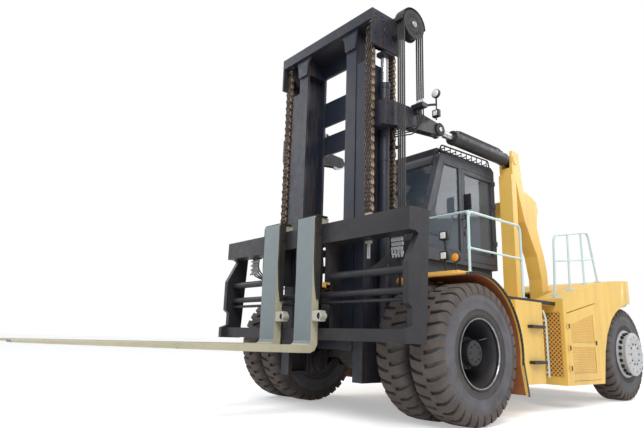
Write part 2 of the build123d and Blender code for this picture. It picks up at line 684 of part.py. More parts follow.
# Forks: tapered blades on hooked shanks, with dark carrier cheeks and the positioner lugs
fork_front = carriage_front - fit - fork_thickness
for side_name, x_mid, out in (("left", left_fork_x, 1), ("right", right_fork_x, 1)):
    low_x, high_x = x_mid - fork_width / 2, x_mid + fork_width / 2
    with BuildPart() as fork:
        side_plate([(-fork_reach, fork_top - fork_tip), (-fork_reach, fork_top),
                    (fork_front - 60, fork_top),
                    (fork_front - 18, fork_top + 18), (fork_front, fork_top + 60), (fork_front, shank_top),
                    (groove_y[1] - 5, shank_top), (groove_y[1] - 5, groove_z + 5),
                    (groove_y[0] + 5, groove_z + 5),
                    (groove_y[0] + 5, beam_top + fit), (carriage_front - fit, beam_top + fit),
                    (carriage_front - fit, fork_bottom + 100), (carriage_front - 40, fork_bottom + 20),
                    (carriage_front - 120, fork_bottom - 20), (-2400, fork_bottom - 5)], low_x, high_x)
        chamfer(fork.edges().filter_by(Axis.Z).sort_by(Axis.Y)[:2], length=70, length2=260)
    save(f"fork_{side_name}", fork)

    with BuildPart() as carrier:
        for x0 in (low_x - cheek - 2, high_x + 2):
            side_plate([(fork_front + 10, shank_top), (carriage_front - fit, shank_top),
                        (carriage_front - fit, 1600),
                        (carriage_front - 50, 1600), (fork_front + 10, 2150)], x0, x0 + cheek)
        slab((low_x - cheek - 2, high_x + cheek + 2), (fork_front + 30, groove_y[1] - 40),
             (shank_top + fit, shank_top + 25))
        slab((high_x + fit, high_x + 230), (fork_front + 5, carriage_front - 6), (1290, 1440))
    save(f"fork_carrier_{side_name}", carrier)

# Tilt frame behind the cab: posts, curved legs, heads and cross beam
leg = [(2560, 4100), (2540, 4300), (2560, 4620), (2800, 4620), (2830, 4300), (2900, 3900), (3200, 3830),
       (3360, 3760),
       (3410, 3600), (3360, 3440), (3340, 3250), (3420, 2990), (3530, 2740), (3620, 2420),
       (3640, frame_top),
       (3420, frame_top), (3400, 2270), (3280, 2690), (3060, 3050), (2900, 3300), (2760, 3700),
       (2650, 4100)]
with BuildPart() as tilt_frame:
    for side in (1, -1):
        side_plate(leg, *sorted((side * tower_low, side * tower_high)))
        slab(sorted((side * tower_low, side * tower_high)), (post_foot[0], post_foot[1] + 20),
             (frame_top, 4150))
        slab(sorted((side * (tilt_x - 80), side * (tilt_x + 80))), (post_foot[0] - 20, 2810),
             (4290, 4630), mode=Mode.SUBTRACT)
        bar((side * (tilt_x - 90), tilt_pivot_y, tilt_z), (side * (tilt_x + 90), tilt_pivot_y, tilt_z),
            tilt_pin_radius)
    slab((-tower_low - 1, tower_low + 1), (2900, 3050), (3480, 3760))
save("tilt_frame", tilt_frame)

for side_name, side in (("left", 1), ("right", -1)):
    x = side * tilt_x
    with BuildPart() as tilt_barrel:
        bar((x, tilt_barrel_front, tilt_z), (x, 2490, tilt_z), tilt_barrel_radius, sides=sheave_sides)
        bar((x - tilt_eye_half, tilt_pivot_y, tilt_z), (x + tilt_eye_half, tilt_pivot_y, tilt_z), 105,
            sides=round_sides)
        slab((x - tilt_eye_half, x + tilt_eye_half), (2480, tilt_pivot_y), (tilt_z - 90, tilt_z + 90))
        bar((x - tilt_eye_half, tilt_pivot_y, tilt_z), (x + tilt_eye_half, tilt_pivot_y, tilt_z),
            tilt_pin_radius + pin_play, mode=Mode.SUBTRACT)
        bar((x, tilt_barrel_front - 1, tilt_z), (x, 2400, tilt_z), tilt_rod_radius + fit,
            mode=Mode.SUBTRACT,
            sides=round_sides)
    save(f"tilt_barrel_{side_name}", tilt_barrel)

    with BuildPart() as tilt_rod:
        bar((x, tilt_eye_y + 130, tilt_z), (x, 1750, tilt_z), tilt_rod_radius, sides=round_sides)
        slab((x - tilt_eye_half, x + tilt_eye_half), (tilt_eye_y, tilt_eye_y + 140),
             (tilt_z - 60, tilt_z + 60))
        bar((x - tilt_eye_half, tilt_eye_y, tilt_z), (x + tilt_eye_half, tilt_eye_y, tilt_z),
            tilt_eye_radius,
            sides=round_sides)
        bar((x - tilt_eye_half, tilt_eye_y, tilt_z), (x + tilt_eye_half, tilt_eye_y, tilt_z),
            tilt_pin_radius + eye_play, mode=Mode.SUBTRACT, sides=round_sides)
    save(f"tilt_rod_{side_name}", tilt_rod)

# Cab base and cab shell
with BuildPart() as cab_base:
    side_plate([(300, frame_top), (180, 1900), (180, cab_bottom), (2440, cab_bottom), (2440, frame_top)],
               -880, 880)
save("cab_base", cab_base)

cab_outline = [(160, cab_bottom), (60, 2600), (60, 2860), (200, 3080), (440, 3150), (790, 4150),
               (850, 4230),
               (2360, 4300), (2440, 4230), (2440, cab_bottom)]
side_window = [(640, 3240), (900, 4060), (door_front - 70, 4060), (door_front - 70, 2560), (430, 2560),
               (330, 2800),
               (480, 3090)]
with BuildPart() as cab_shell:
    side_plate(cab_outline, -cab_half, cab_half)
    side_plate([(160 + cab_wall, cab_bottom + cab_wall), (60 + cab_wall, 2600), (60 + cab_wall, 2830),
                (230, 3020), (480, 3100), (830, 4100), (880, 4170), (2340, 4230), (2380, 4190),
                (2380, cab_bottom + cab_wall)], -cab_half + cab_wall, cab_half - cab_wall,
                mode=Mode.SUBTRACT)
    slab((-cab_half + 110, cab_half - 110), (300, 1100), (3260, 4060), mode=Mode.SUBTRACT)
    slab((-cab_half + 130, cab_half - 130), (2300, 2500), (2750, 4060), mode=Mode.SUBTRACT)
    for side in (1, -1):
        side_plate(side_window, *sorted((side * (cab_half - 200), side * (cab_half + 10))),
                   mode=Mode.SUBTRACT)
        slab(sorted((side * (cab_half - 200), side * (cab_half + 10))), (door_front, door_rear),
             (door_low, door_high),
             mode=Mode.SUBTRACT)
save("cab_shell", cab_shell)

with BuildPart() as cab_glass:
    side_plate([(499, 3260 + fit), (778, 4060 - fit), (778 + glass, 4060 - fit), (499 + glass, 3260 + fit)],
               -cab_half + 110 + fit, cab_half - 110 - fit)
    slab((-cab_half + 130 + fit, cab_half - 130 - fit), (2410, 2410 + glass), (2750 + fit, 4060 - fit))
    for side in (1, -1):
        side_plate(side_window, *sorted((side * (cab_half - 20 - glass), side * (cab_half - 20))),
                   inset=fit)
save("cab_glass", cab_glass)

door_gap = 8.0
for side_name, side in (("left", 1), ("right", -1)):
    inner_x, outer_x = cab_half - 50, cab_half
    with BuildPart() as door:
        slab(sorted((side * inner_x, side * outer_x)), (door_front + door_gap, door_rear - door_gap),
             (door_low + door_gap, door_high - door_gap))
        slab(sorted((side * (inner_x - 1), side * (outer_x + 1))), (door_front + 80, door_rear - 80),
             (door_low + 160, door_high - 80), mode=Mode.SUBTRACT)
        for z, sides in ((2800, 0), (3500, 8), (3950, 8)):
            bar((side * (outer_x + 16), door_rear + 20, z),
                (side * (outer_x + 16), door_rear + 20, z + 80), 14,
                sides=sides)
            slab(sorted((side * outer_x, side * (outer_x + 16))), (door_rear - 60, door_rear + 20),
                 (z + 10, z + 70))
    save(f"cab_door_{side_name}", door)

    with BuildPart() as door_glass:
        slab(sorted((side * (inner_x + 20), side * (inner_x + 20 + glass))),
             (door_front + 80 + fit, door_rear - 80 - fit),
             (door_low + 160 + fit, door_high - 80 - fit))
    save(f"door_glass_{side_name}", door_glass)

roof_slope = (4300 - 4230) / (2360 - 850)
with BuildPart() as roof_guard:
    for x in (-820, -410, 0, 410, 820):
        slab((x - 25, x + 25), (900, 2300), (4330, 4370))
    for y in (900, 1570, 2240):
        low_z = 4230 + (y - 850) * roof_slope
        side_plate([(y, low_z), (y, 4370), (y + 60, 4370), (y + 60, low_z + 60 * roof_slope)], -860, 860)
save("roof_guard", roof_guard)

with BuildPart() as seat:
    slab((-280, 280), (1500, 2060), (2410, 2700))
    slab((-260, 260), (1480, 2080), (2700, 2840))
    side_plate([(1960, 2840), (2130, 3560), (2240, 3560), (2080, 2840)], -250, 250)
save("seat", seat)

with BuildPart() as console:
    side_plate([(560, 2410), (500, 2960), (640, 3060), (760, 2960), (820, 2410)], -420, 420)
    bar((0, 760, 2860), (0, 960, 3160), 30, sides=8)
    with BuildSketch(Plane(origin=(0, 960, 3160), z_dir=(0, 200, 300))) as wheel_ring:
        RegularPolygon(200, sheave_sides)
        RegularPolygon(170, sheave_sides, mode=Mode.SUBTRACT)
        Rectangle(360, 40)
    extrude(wheel_ring.sketch, amount=25)
save("steering_console", console)

# Decks and walkways beside the cab, fenders and side tanks
with BuildPart() as walkways:
    for side in (1, -1):
        side_plate([(150, deck_top - deck_thickness), (150, deck_top), (900, deck_top), (1330, walk_top),
                    (2960, walk_top),
                    (2960, walk_top - deck_thickness), (1310, walk_top - deck_thickness),
                    (870, deck_top - deck_thickness)],
                   *sorted((side * (tower_high + 5), side * 1760)))
        side_plate([(150, deck_top - deck_thickness), (150, deck_top), (900, deck_top), (1330, walk_top),
                    (2490, walk_top),
                    (2490, walk_top - deck_thickness), (1310, walk_top - deck_thickness),
                    (870, deck_top - deck_thickness)],
                   *sorted((side * 885, side * (tower_high + 6))))
save("walkways", walkways)

with BuildPart() as fenders:
    for side in (1, -1):
        x0, x1 = sorted((side * 1180, side * 2190))
        with BuildSketch(Plane.YZ.offset(x0)) as arch:
            with Locations((0, hub_z)):
                RegularPolygon(fender_radius + fender_thickness, arch_sides, major_radius=False)
                RegularPolygon(fender_radius, arch_sides, major_radius=False, mode=Mode.SUBTRACT)
            with BuildLine():
                Polyline((-1500, -200), (-1500, 2500), (-240, 2500), (0, hub_z), (1500, 700),
                         (1500, -200), close=True)
            make_face(mode=Mode.SUBTRACT)
        extrude(arch.sketch, amount=x1 - x0)
        side_plate([(fender_radius - 15, 790), (fender_radius + 5, 790), (1165, 350), (1145, 350)], x0, x1)
        slab(sorted((side * 1300, side * 1380)), (260, 420), (1925, deck_top - deck_thickness))
save("fenders", fenders)

with BuildPart() as side_tanks:
    for side in (1, -1):
        side_plate([(1330, 460), (1250, 620), (1250, 1600), (1380, walk_top - deck_thickness),
                    (2350, walk_top - deck_thickness),
                    (2350, 460)], *sorted((side * tank_inner, side * 1760)))
        side_plate([(1500, 460), (1420, 620), (1420, walk_top - deck_thickness),
                    (2230, walk_top - deck_thickness),
                    (2230, 460)], *sorted((side * 1759, side * body_half)))
        for z in (770, 1320):
            slab(sorted((side * (body_half - 1), side * (body_half + 90))), (1750, 2150), (z, z + 40))
save("side_tanks", side_tanks)

# Hood shell over the engine, with mesh bulkheads, door openings and the arch of the rear wheels
hood_arch = [(wheelbase + y, z) for y, z in reversed(arch_edge[:5])]
hood_side = [(hood_front, sill_z), (hood_front, 1860), (4100, 2200), (hood_rear, 2360), *hood_arch]
bay_rear = wheelbase - 1560
hood_hollow = [(hood_front + hood_wall, sill_z - 1), (hood_front + hood_wall, 1832), (4096, 2168),
               (bay_rear, 2190), (bay_rear, sill_z - 1)]
hood_room = [(wheelbase + y, z) for y, z in arch_room[:5]]
hood_room = [(hood_room[0][0], sill_z - 1), *hood_room[1:], (hood_rear + 1, arch_room[4][1]),
             (hood_rear + 1, sill_z - 1)]
leg_slot = 3660.0
with BuildPart() as hood:
    side_plate(hood_side, -body_half, body_half)
    side_plate(hood_hollow, -body_half + hood_wall, body_half - hood_wall, mode=Mode.SUBTRACT)
    slab((-1400, 1400), (hood_front - 1, leg_slot), (sill_z - 1, 2400), mode=Mode.SUBTRACT)
    slab((-frame_outer - 20, frame_outer + 20), (leg_slot - 1, hood_rear + 1),
         (sill_z - 1, frame_top + 20), mode=Mode.SUBTRACT)
    slab((-480, 480), (member_rear - 500, hood_rear + 1), (frame_top, arch_top + 10), mode=Mode.SUBTRACT)
    for side in (1, -1):
        slab(sorted((side * (body_half - 60), side * (body_half + 1))), (side_door_front, side_door_rear),
             (side_door_low, 1620), mode=Mode.SUBTRACT)
        side_plate([(side_door_front, 1600), (side_door_rear, 1600), (side_door_rear, 1860),
                    (side_door_front, 1620)],
                   *sorted((side * (body_half - 60), side * (body_half + 1))), mode=Mode.SUBTRACT)
        slab(sorted((side * 1460, side * 1850)), (hood_front - 1, hood_front + hood_wall + 1),
             (520, 1640), mode=Mode.SUBTRACT)
        slab(sorted((side * 1400, side * 1420)), (hood_front + hood_wall - 1, leg_slot + 1), (sill_z, 1800))
        side_plate(hood_room, *sorted((side * 480, side * (body_half - arch_skin))), mode=Mode.SUBTRACT)
save("hood", hood)

with BuildPart() as mesh_panels:
    for side in (1, -1):
        slab(sorted((side * (1460 + fit), side * (1850 - fit))), (hood_front + 5, hood_front + 15),
             (520 + fit, 1640 - fit))
save("mesh_panels", mesh_panels)

for side_name, side in (("left", 1), ("right", -1)):
    inner_x, outer_x = body_half - 35, body_half
    louvre_rear = side_door_rear - 130
    upper_louvre = [(3220, 1120), (3220, 1420), (louvre_rear, 1640), (louvre_rear, 1120)]
    with BuildPart() as side_door:
        side_plate([(side_door_front + door_gap, side_door_low + door_gap),
                    (side_door_front + door_gap, 1605),
                    (side_door_rear - door_gap, 1842), (side_door_rear - door_gap,
                                                        side_door_low + door_gap)],
                   *sorted((side * inner_x, side * outer_x)))
        slab(sorted((side * (inner_x - 1), side * (outer_x + 1))), (3220, louvre_rear), (600, 1040),
             mode=Mode.SUBTRACT)
        side_plate(upper_louvre, *sorted((side * (inner_x - 1), side * (outer_x + 1))), mode=Mode.SUBTRACT)
        for z, sides in ((640, 8), (980, 0), (1350, 8)):
            bar((side * (outer_x + 14), side_door_front - 14, z),
                (side * (outer_x + 14), side_door_front - 14, z + 90), 12, sides=sides)
            slab(sorted((side * outer_x, side * (outer_x + 14))),
                 (side_door_front - 14, side_door_front + 50),
                 (z + 10, z + 80))
        slab(sorted((side * (inner_x + 5), side * (inner_x + 25))), (3220 + fit, louvre_rear - fit),
             (600 + fit, 1040 - fit))
        side_plate(upper_louvre, *sorted((side * (inner_x + 5), side * (inner_x + 25))), inset=fit)
    save(f"engine_door_{side_name}", side_door)

# Counterweight: rounded rear, roof over the steered wheels and the block behind the axle
weight_top = 2450.0
weight_rear_y = wheelbase + 1160.0
corner_front = wheelbase - 350.0
with BuildPart() as counterweight:
    with BuildSketch(Plane.XY.offset(450)) as rounded:
        with BuildLine():
            Line((900, rear_end), (-900, rear_end))
            TangentArc((-body_half, corner_front), (-900, rear_end), tangent=(0, 1))
            TangentArc((body_half, corner_front), (900, rear_end), tangent=(0, 1))
            Polyline((body_half, corner_front), (body_half, hood_rear), (-body_half, hood_rear),
                     (-body_half, corner_front))
        make_face()
    extrude(amount=weight_top - 450)
    slab((-body_half - 1, body_half + 1), (hood_rear - 1, weight_rear_y), (449, 1740), mode=Mode.SUBTRACT)
    weight_arch = [(wheelbase + y, z) for y, z in arch_edge[4:]]
    side_plate([(hood_rear - 1, 1739), *weight_arch, (weight_rear_y, arch_top), (weight_rear_y, 1739)],
               -body_half - 1, body_half + 1, mode=Mode.SUBTRACT)
    side_plate([(hood_rear - 1, 2360), (wheelbase + 250, weight_top), (wheelbase + 1110, 2400),
                (wheelbase + 1320, 2210), (rear_end + 1, 1900), (rear_end + 1, weight_top + 1),
                (hood_rear - 1, weight_top + 1)], -body_half - 1, body_half + 1, mode=Mode.SUBTRACT)
    slab((-430, 430), (rear_member_end + 20, weight_rear_y + 10), (450, arch_top + 1))
    slab((-rear_member_outer - 10, rear_member_outer + 10), (hood_rear - 1, rear_member_end + 10),
         (1739, arch_top),
         mode=Mode.SUBTRACT)
    weight_room = [(wheelbase + y, z) for y, z in arch_room[4:]]
    room_rear = (wheelbase + 700, arch_room[-1][1])
    for side in (1, -1):
        side_plate([(hood_rear - 1, 1739), (hood_rear - 1, arch_room[4][1]), *weight_room[1:], room_rear,
                    (wheelbase + 900, arch_top), (wheelbase + 900, 1739)],
                   *sorted((side * 480, side * (body_half - arch_skin))), mode=Mode.SUBTRACT)
save("counterweight", counterweight)

# Handrails of the deck and of the hood
front_slope = (2200 - 1860) / (4100 - hood_front)
rear_slope = (2360 - 2200) / (hood_rear - 4100)
rail_z = 3010.0
mid_rail_z = 2450.0
rail_gap = rail_radius + fit
post_slack = 7.0
posts = ((3080, 3180, 3030), (3680, 3730, 3135), (4300, 4300, 3243),
         (hood_rear - 300, hood_rear - 600, 3300))
rail_rise = (posts[-1][2] - posts[0][2]) / (posts[-1][1] - posts[0][1])
with BuildPart() as handrails:
    for side in (1, -1):
        x = side * 1735
        for y, foot_z in ((480, deck_top), (1970, walk_top)):
            bar((x, y, foot_z), (x, y, rail_z - rail_gap), rail_radius, sides=8)
        bar((x, 480 - rail_radius, rail_z), (x, 1970 + rail_radius, rail_z), rail_radius, sides=8)
        bar((x, 480 + rail_gap, mid_rail_z), (x, 1970 - rail_gap, mid_rail_z), rail_radius * 0.8, sides=8)
        bar((side * (cab_half + 1), 480, rail_z), (x - side * rail_gap, 480, rail_z), rail_radius * 0.8,
            sides=8)
        x = side * 1720
        mids = []
        for y, top_y, top_z in posts:
            base_z = 1860 + (y - hood_front) * front_slope if y < 4100 else 2200 + (y - 4100) * rear_slope
            rise = 50 * (front_slope if y < 4100 else rear_slope)
            side_plate([(y - 50, base_z - rise), (y - 50, base_z - rise + 20), (y + 50, base_z + rise + 20),
                        (y + 50, base_z + rise)], x - 50, x + 50)
            line_z = posts[0][2] + (top_y - posts[0][1]) * rail_rise
            bar((x, y, base_z + 10), (x, top_y, line_z - rail_gap - post_slack), rail_radius, sides=8)
            mid_z = 2560 + (y - 3140) * 200 / 1640
            share = (mid_z - base_z) / (line_z - base_z)
            mids.append((y + (top_y - y) * share, mid_z))
        bar((x, posts[0][1] - 40, posts[0][2] - 40 * rail_rise),
            (x, posts[-1][1] + 40, posts[-1][2] + 40 * rail_rise),
            rail_radius, sides=8)
        for (y0, z0), (y1, z1) in zip(mids, mids[1:]):
            bar((x, y0 + rail_gap + 4, z0), (x, y1 - rail_gap - 4, z1), rail_radius * 0.8, sides=8)
save("handrails", handrails)

# Work lamps and orange lamps on the front deck
with BuildPart() as deck_lamps:
    for side in (1, -1):
        for z in (2250, 2560):
            slab(sorted((side * 1350, side * 1510)), (230, 330), (z, z + 150))
        slab(sorted((side * 1410, side * 1450)), (280, 320), (deck_top, 2560))
        bar((side * 1620, 300, deck_top), (side * 1620, 300, 2220), 25, sides=8)
        bar((side * 1620, 250, 2290), (side * 1620, 340, 2290), 75, sides=round_sides)
save("deck_lamps", deck_lamps)
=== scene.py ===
"""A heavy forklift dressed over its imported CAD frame, in a plain studio."""
import json
import math

import bmesh
import bpy
from bpy.props import FloatProperty, FloatVectorProperty, PointerProperty
from mathutils import Matrix, Vector


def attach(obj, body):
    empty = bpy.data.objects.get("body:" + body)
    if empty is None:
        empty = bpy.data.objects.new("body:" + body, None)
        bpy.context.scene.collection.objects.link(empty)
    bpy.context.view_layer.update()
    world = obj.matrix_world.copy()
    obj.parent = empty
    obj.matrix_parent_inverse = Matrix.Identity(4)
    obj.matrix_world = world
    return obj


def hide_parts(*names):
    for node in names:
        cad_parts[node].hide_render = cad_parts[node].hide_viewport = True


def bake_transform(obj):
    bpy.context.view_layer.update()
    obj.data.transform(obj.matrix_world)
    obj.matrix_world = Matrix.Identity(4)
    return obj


bl_info = {
    "name": "Heavy forklift",
    "version": (1, 0, 0),
    "blender": (4, 5, 0),
    "location": "View3D > Sidebar > Forklift",
    "description": "Paints and details a heavy forklift over its CAD frame",
    "category": "Object", }

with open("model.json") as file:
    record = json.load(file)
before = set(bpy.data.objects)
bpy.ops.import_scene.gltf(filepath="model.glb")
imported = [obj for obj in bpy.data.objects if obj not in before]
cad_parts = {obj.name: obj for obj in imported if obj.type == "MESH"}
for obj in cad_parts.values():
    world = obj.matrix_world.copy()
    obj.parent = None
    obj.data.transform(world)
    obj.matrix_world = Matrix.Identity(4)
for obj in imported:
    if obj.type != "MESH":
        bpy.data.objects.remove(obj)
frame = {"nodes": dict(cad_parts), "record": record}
NODES = frame["nodes"]
NODE_SLOT = {part["node"]: part["material_slot"] for part in frame["record"]["subparts"]}


def colour_property(name, description, default):
    """A colour setting in linear values."""
    return FloatVectorProperty(name=name, description=description, subtype="COLOR", size=3, min=0.0, max=1.0,
                               default=default)


class ForkliftPaint(bpy.types.PropertyGroup):
    """Colours of the machine's finishes."""
    yellow: colour_property("Body yellow", "Paint of the hood, tanks and fenders", (0.86, 0.55, 0.125))
    mast: colour_property("Mast black", "Blue-black paint of the mast", (0.012, 0.017, 0.031))
    carriage: colour_property("Carriage black", "Black paint of the carriage and the frame",
                              (0.017, 0.017, 0.022))
    cab: colour_property("Cab grey", "Dark grey paint of the cab", (0.048, 0.052, 0.068))
    forks: colour_property("Fork grey", "Pale grey paint of the forks", (0.44, 0.405, 0.285))
    rails: colour_property("Rail blue-green", "Pale paint of the handrails", (0.56, 0.72, 0.72))
    rubber: colour_property("Tyre rubber", "Rubber of the tyres", (0.075, 0.060, 0.055))
    dust: colour_property("Dust", "Dried mud and dust on low parts", (0.30, 0.21, 0.12))


class ForkliftWear(bpy.types.PropertyGroup):
    """How used the machine looks."""
    dust_height: FloatProperty(name="Dust height", description="Height up to which dust lies on the paint",
                               default=1.6, min=0.0, unit="LENGTH")
    dust_amount: FloatProperty(name="Dust amount", description="Share of dust on low parts", default=0.35,
                               min=0.0, max=1.0, subtype="FACTOR")
    orange_peel: FloatProperty(name="Paint texture", description="Depth of the paint's fine texture",
                               default=0.04, min=0.0, max=1.0, subtype="FACTOR")
    lug_width: FloatProperty(name="Lug width", description="Width of a tread lug round the tyre",
                             default=0.120, min=0.05, unit="LENGTH")
    rail_radius: FloatProperty(name="Rail radius", description="Radius of the handrail tubes", default=0.0215,
                               min=0.005, unit="LENGTH")


class ForkliftStage(bpy.types.PropertyGroup):
    """Camera and light."""
    focal_length: FloatProperty(name="Focal length", description="Camera lens", default=29.80, min=10.0,
                                unit="CAMERA")
    key_power: FloatProperty(name="Key light", description="Power of the main soft light", default=1500.0,
                             min=0.0, unit="POWER")
    sky_strength: FloatProperty(name="Sky", description="Strength of the even light", default=0.62, min=0.0)


class NodeTree:
    """A short way to build a material's nodes."""

    def __init__(self, name):
        self.material = bpy.data.materials.new(name)
        self.material.use_nodes = True
        self.nodes = self.material.node_tree.nodes
        self.links = self.material.node_tree.links
        self.shader = self.nodes["Principled BSDF"]
        coordinates = self.nodes.new("ShaderNodeTexCoord").outputs
        self.coord = coordinates["Object"]
        self.normal = coordinates["Normal"]

    def link(self, source, socket):
        self.links.new(source, socket)

    def noise(self, scale, detail=4.0, stretch=None, roughness=0.55):
        node = self.nodes.new("ShaderNodeTexNoise")
        node.inputs["Scale"].default_value = scale
        node.inputs["Detail"].default_value = detail
        node.inputs["Roughness"].default_value = roughness
        source = self.coord
        if stretch:
            mapping = self.nodes.new("ShaderNodeMapping")
            mapping.inputs["Scale"].default_value = stretch
            self.link(source, mapping.inputs["Vector"])
            source = mapping.outputs["Vector"]
        self.link(source, node.inputs["Vector"])
        return node.outputs["Fac"]

    def spread(self, source, low, high, to_low=0.0, to_high=1.0):
        node = self.nodes.new("ShaderNodeMapRange")
        node.inputs["From Min"].default_value = low
        node.inputs["From Max"].default_value = high
        node.inputs["To Min"].default_value = to_low
        node.inputs["To Max"].default_value = to_high
        self.link(source, node.inputs["Value"])
        return node.outputs["Result"]

    def maths(self, operation, first, second):
        node = self.nodes.new("ShaderNodeMath")
        node.operation = operation
        for socket, value in zip(node.inputs, (first, second)):
            if isinstance(value, (int, float)):
                socket.default_value = value
            else:
                self.link(value, socket)
        return node.outputs["Value"]

    def mix(self, factor, first, second):
        node = self.nodes.new("ShaderNodeMix")
        node.data_type = "RGBA"
        for socket, value in ((node.inputs["Factor"], factor), (node.inputs["A"], first),
                              (node.inputs["B"], second)):
            self.fill(socket, value)
        return node.outputs["Result"]

    def fill(self, socket, value):
        if isinstance(value, bpy.types.NodeSocket):
            self.link(value, socket)
        elif isinstance(value, (int, float)):
            socket.default_value = value
        else:
            socket.default_value = (*value, 1.0)

    def part_of(self, vector, axis):
        """One axis of a vector: the height of a point, or how far a face looks along Y."""
        node = self.nodes.new("ShaderNodeSeparateXYZ")
        self.link(vector, node.inputs["Vector"])
        return node.outputs[axis]

    def coat(self, factor, colour):
        """Lays a colour over the one that the shader already has."""
        socket = self.shader.inputs["Base Color"]
        self.link(self.mix(factor, socket.links[0].from_socket, colour), socket)

    def bump(self, source, strength, distance=0.01, below=None):
        node = self.nodes.new("ShaderNodeBump")
        node.inputs["Strength"].default_value = strength
        node.inputs["Distance"].default_value = distance
        self.link(source, node.inputs["Height"])
        if below:
            self.link(below, node.inputs["Normal"])
        self.link(node.outputs["Normal"], self.shader.inputs["Normal"])
        return node.outputs["Normal"]

    def plain(self, **values):
        for name, value in values.items():
            socket = self.shader.inputs[name.replace("_", " ")]
            self.fill(socket, value)


CHIP_COLOUR = (0.12, 0.07, 0.045)
# Darker blue-grey for fork faces that look forward: painted shade.
FRONT_SHADE_BLUE = (0.175, 0.21, 0.22)
# Brown that stands for grease and for painted light on the mast's side faces.
GREASE_AND_SIDE_LIGHT = (0.060, 0.040, 0.030)


def shade(colour, factor):
    """The same colour, lighter or darker."""
    return tuple(min(1.0, channel * factor) for channel in colour)


def painted_tree(name, colour, roughness, scene, dust=1.0, chips=0.0, shine=0.5):
    """Nodes of sprayed paint with tone changes, streaks, dust low down and chips."""
    wear = scene.forklift_wear
    tree = NodeTree(name)
    tone = tree.spread(tree.noise(0.9, 5.0), 0.3, 0.7)
    base = tree.mix(tone, shade(colour, 0.90), shade(colour, 1.06))
    streak = tree.spread(tree.noise(5.0, 6.0, (1.0, 1.0, 0.12)), 0.50, 0.72, 0.0, 0.28)
    base = tree.mix(streak, base, shade(colour, 0.62))
    low = tree.spread(tree.part_of(tree.coord, "Z"), wear.dust_height, 0.1, 0.0, wear.dust_amount * dust)
    patches = tree.spread(tree.noise(3.2, 8.0), 0.36, 0.68)
    film = tree.spread(tree.noise(1.4, 7.0), 0.45, 0.75, 0.0, 0.16 * dust)
    amount = tree.maths("MAXIMUM", tree.maths("MULTIPLY", low, patches), film)
    base = tree.mix(amount, base, tuple(scene.forklift_paint.dust))
    if chips:
        spots = tree.spread(tree.noise(26.0, 9.0, roughness=0.7), 0.70 - chips * 0.1, 0.73 - chips * 0.1)
        base = tree.mix(spots, base, CHIP_COLOUR)
    tree.plain(Base_Color=base, Specular_IOR_Level=shine)
    rough = tree.spread(tree.noise(9.0, 5.0), 0.3, 0.7, roughness - 0.06, roughness + 0.12)
    tree.link(rough, tree.shader.inputs["Roughness"])
    dents = tree.bump(tree.noise(2.2, 3.0), 0.10, 0.02)
    tree.bump(tree.noise(240.0, 2.0), wear.orange_peel, 0.002, dents)
    return tree


def machine_paint(*settings, **more):
    """Sprayed paint as it comes."""
    return painted_tree(*settings, **more).material


def fork_paint(name, colour, scene):
    """Cream fork paint, with painted blue-grey shade on the faces that look forward."""
    tree = painted_tree(name, colour, 0.55, scene, dust=0.2, chips=0.5)
    # Faces that look forward turn darker blue-grey: painted shade.
    tree.coat(tree.spread(tree.part_of(tree.normal, "Y"), -0.5, -0.9), FRONT_SHADE_BLUE)
    return tree.material


def greased_and_side_lit_paint(name, colour, scene):
    """Mast paint with brown grease and painted light on the faces that look inwards or back."""
    tree = painted_tree(name, colour, 0.40, scene, dust=0.5, chips=0.6, shine=0.32)
    sideways = tree.spread(tree.part_of(tree.normal, "Y"), -0.80, -0.30, 0.0, 0.85)
    bands = tree.spread(tree.noise(5.0, 6.0, (9.0, 9.0, 0.45), roughness=0.5), 0.46, 0.66)
    # Brown bands on faces that don't look forward: partly grease, partly painted light on lit side faces.
    tree.coat(tree.maths("MULTIPLY", sideways, bands), GREASE_AND_SIDE_LIGHT)
    return tree.material


def bare_metal(name, colour, roughness, grime):
    """Machined or chromed steel with fine marks."""
    tree = NodeTree(name)
    marks = tree.spread(tree.noise(12.0, 8.0), 0.35, 0.7)
    tree.plain(Base_Color=tree.mix(tree.maths("MULTIPLY", marks, grime), colour, shade(colour, 0.35)),
               Metallic=1.0)
    rough = tree.spread(marks, 0.0, 1.0, roughness, roughness + 0.2)
    tree.link(rough, tree.shader.inputs["Roughness"])
    tree.bump(tree.noise(90.0, 4.0, (1.0, 1.0, 0.2)), 0.05, 0.002)
    return tree.material


def tyre_rubber(name, colour, scene):
    """Worn rubber with patches of brown dust."""
    tree = NodeTree(name)
    dust = tuple(scene.forklift_paint.dust)
    tone = tree.spread(tree.noise(4.0, 6.0), 0.3, 0.7)
    base = tree.mix(tone, shade(colour, 0.75), shade(colour, 1.35))
    film = tree.spread(tree.noise(7.0, 10.0, roughness=0.65), 0.42, 0.75, 0.0, 0.30)
    base = tree.mix(film, base, shade(dust, 0.55))
    tree.plain(Base_Color=base, Roughness=0.82)
    grain = tree.bump(tree.noise(18.0, 8.0), 0.25, 0.012)
    tree.bump(tree.noise(160.0, 3.0), 0.15, 0.002, grain)
    return tree.material


def soft_plastic(name, colour, roughness):
    """Moulded plastic or hose cover."""
    tree = NodeTree(name)
    tone = tree.spread(tree.noise(6.0, 5.0), 0.3, 0.7)
    tree.plain(Base_Color=tree.mix(tone, shade(colour, 0.8), shade(colour, 1.25)), Roughness=roughness)
    tree.bump(tree.noise(220.0, 3.0), 0.12, 0.001)
    return tree.material


def cab_pane(name):
    """Tinted safety glass."""
    tree = NodeTree(name)
    haze = tree.spread(tree.noise(3.0, 6.0), 0.4, 0.8, 0.02, 0.10)
    tree.plain(Roughness=haze, Base_Color=(0.075, 0.098, 0.125), Alpha=0.60, IOR=1.5)
    return tree.material


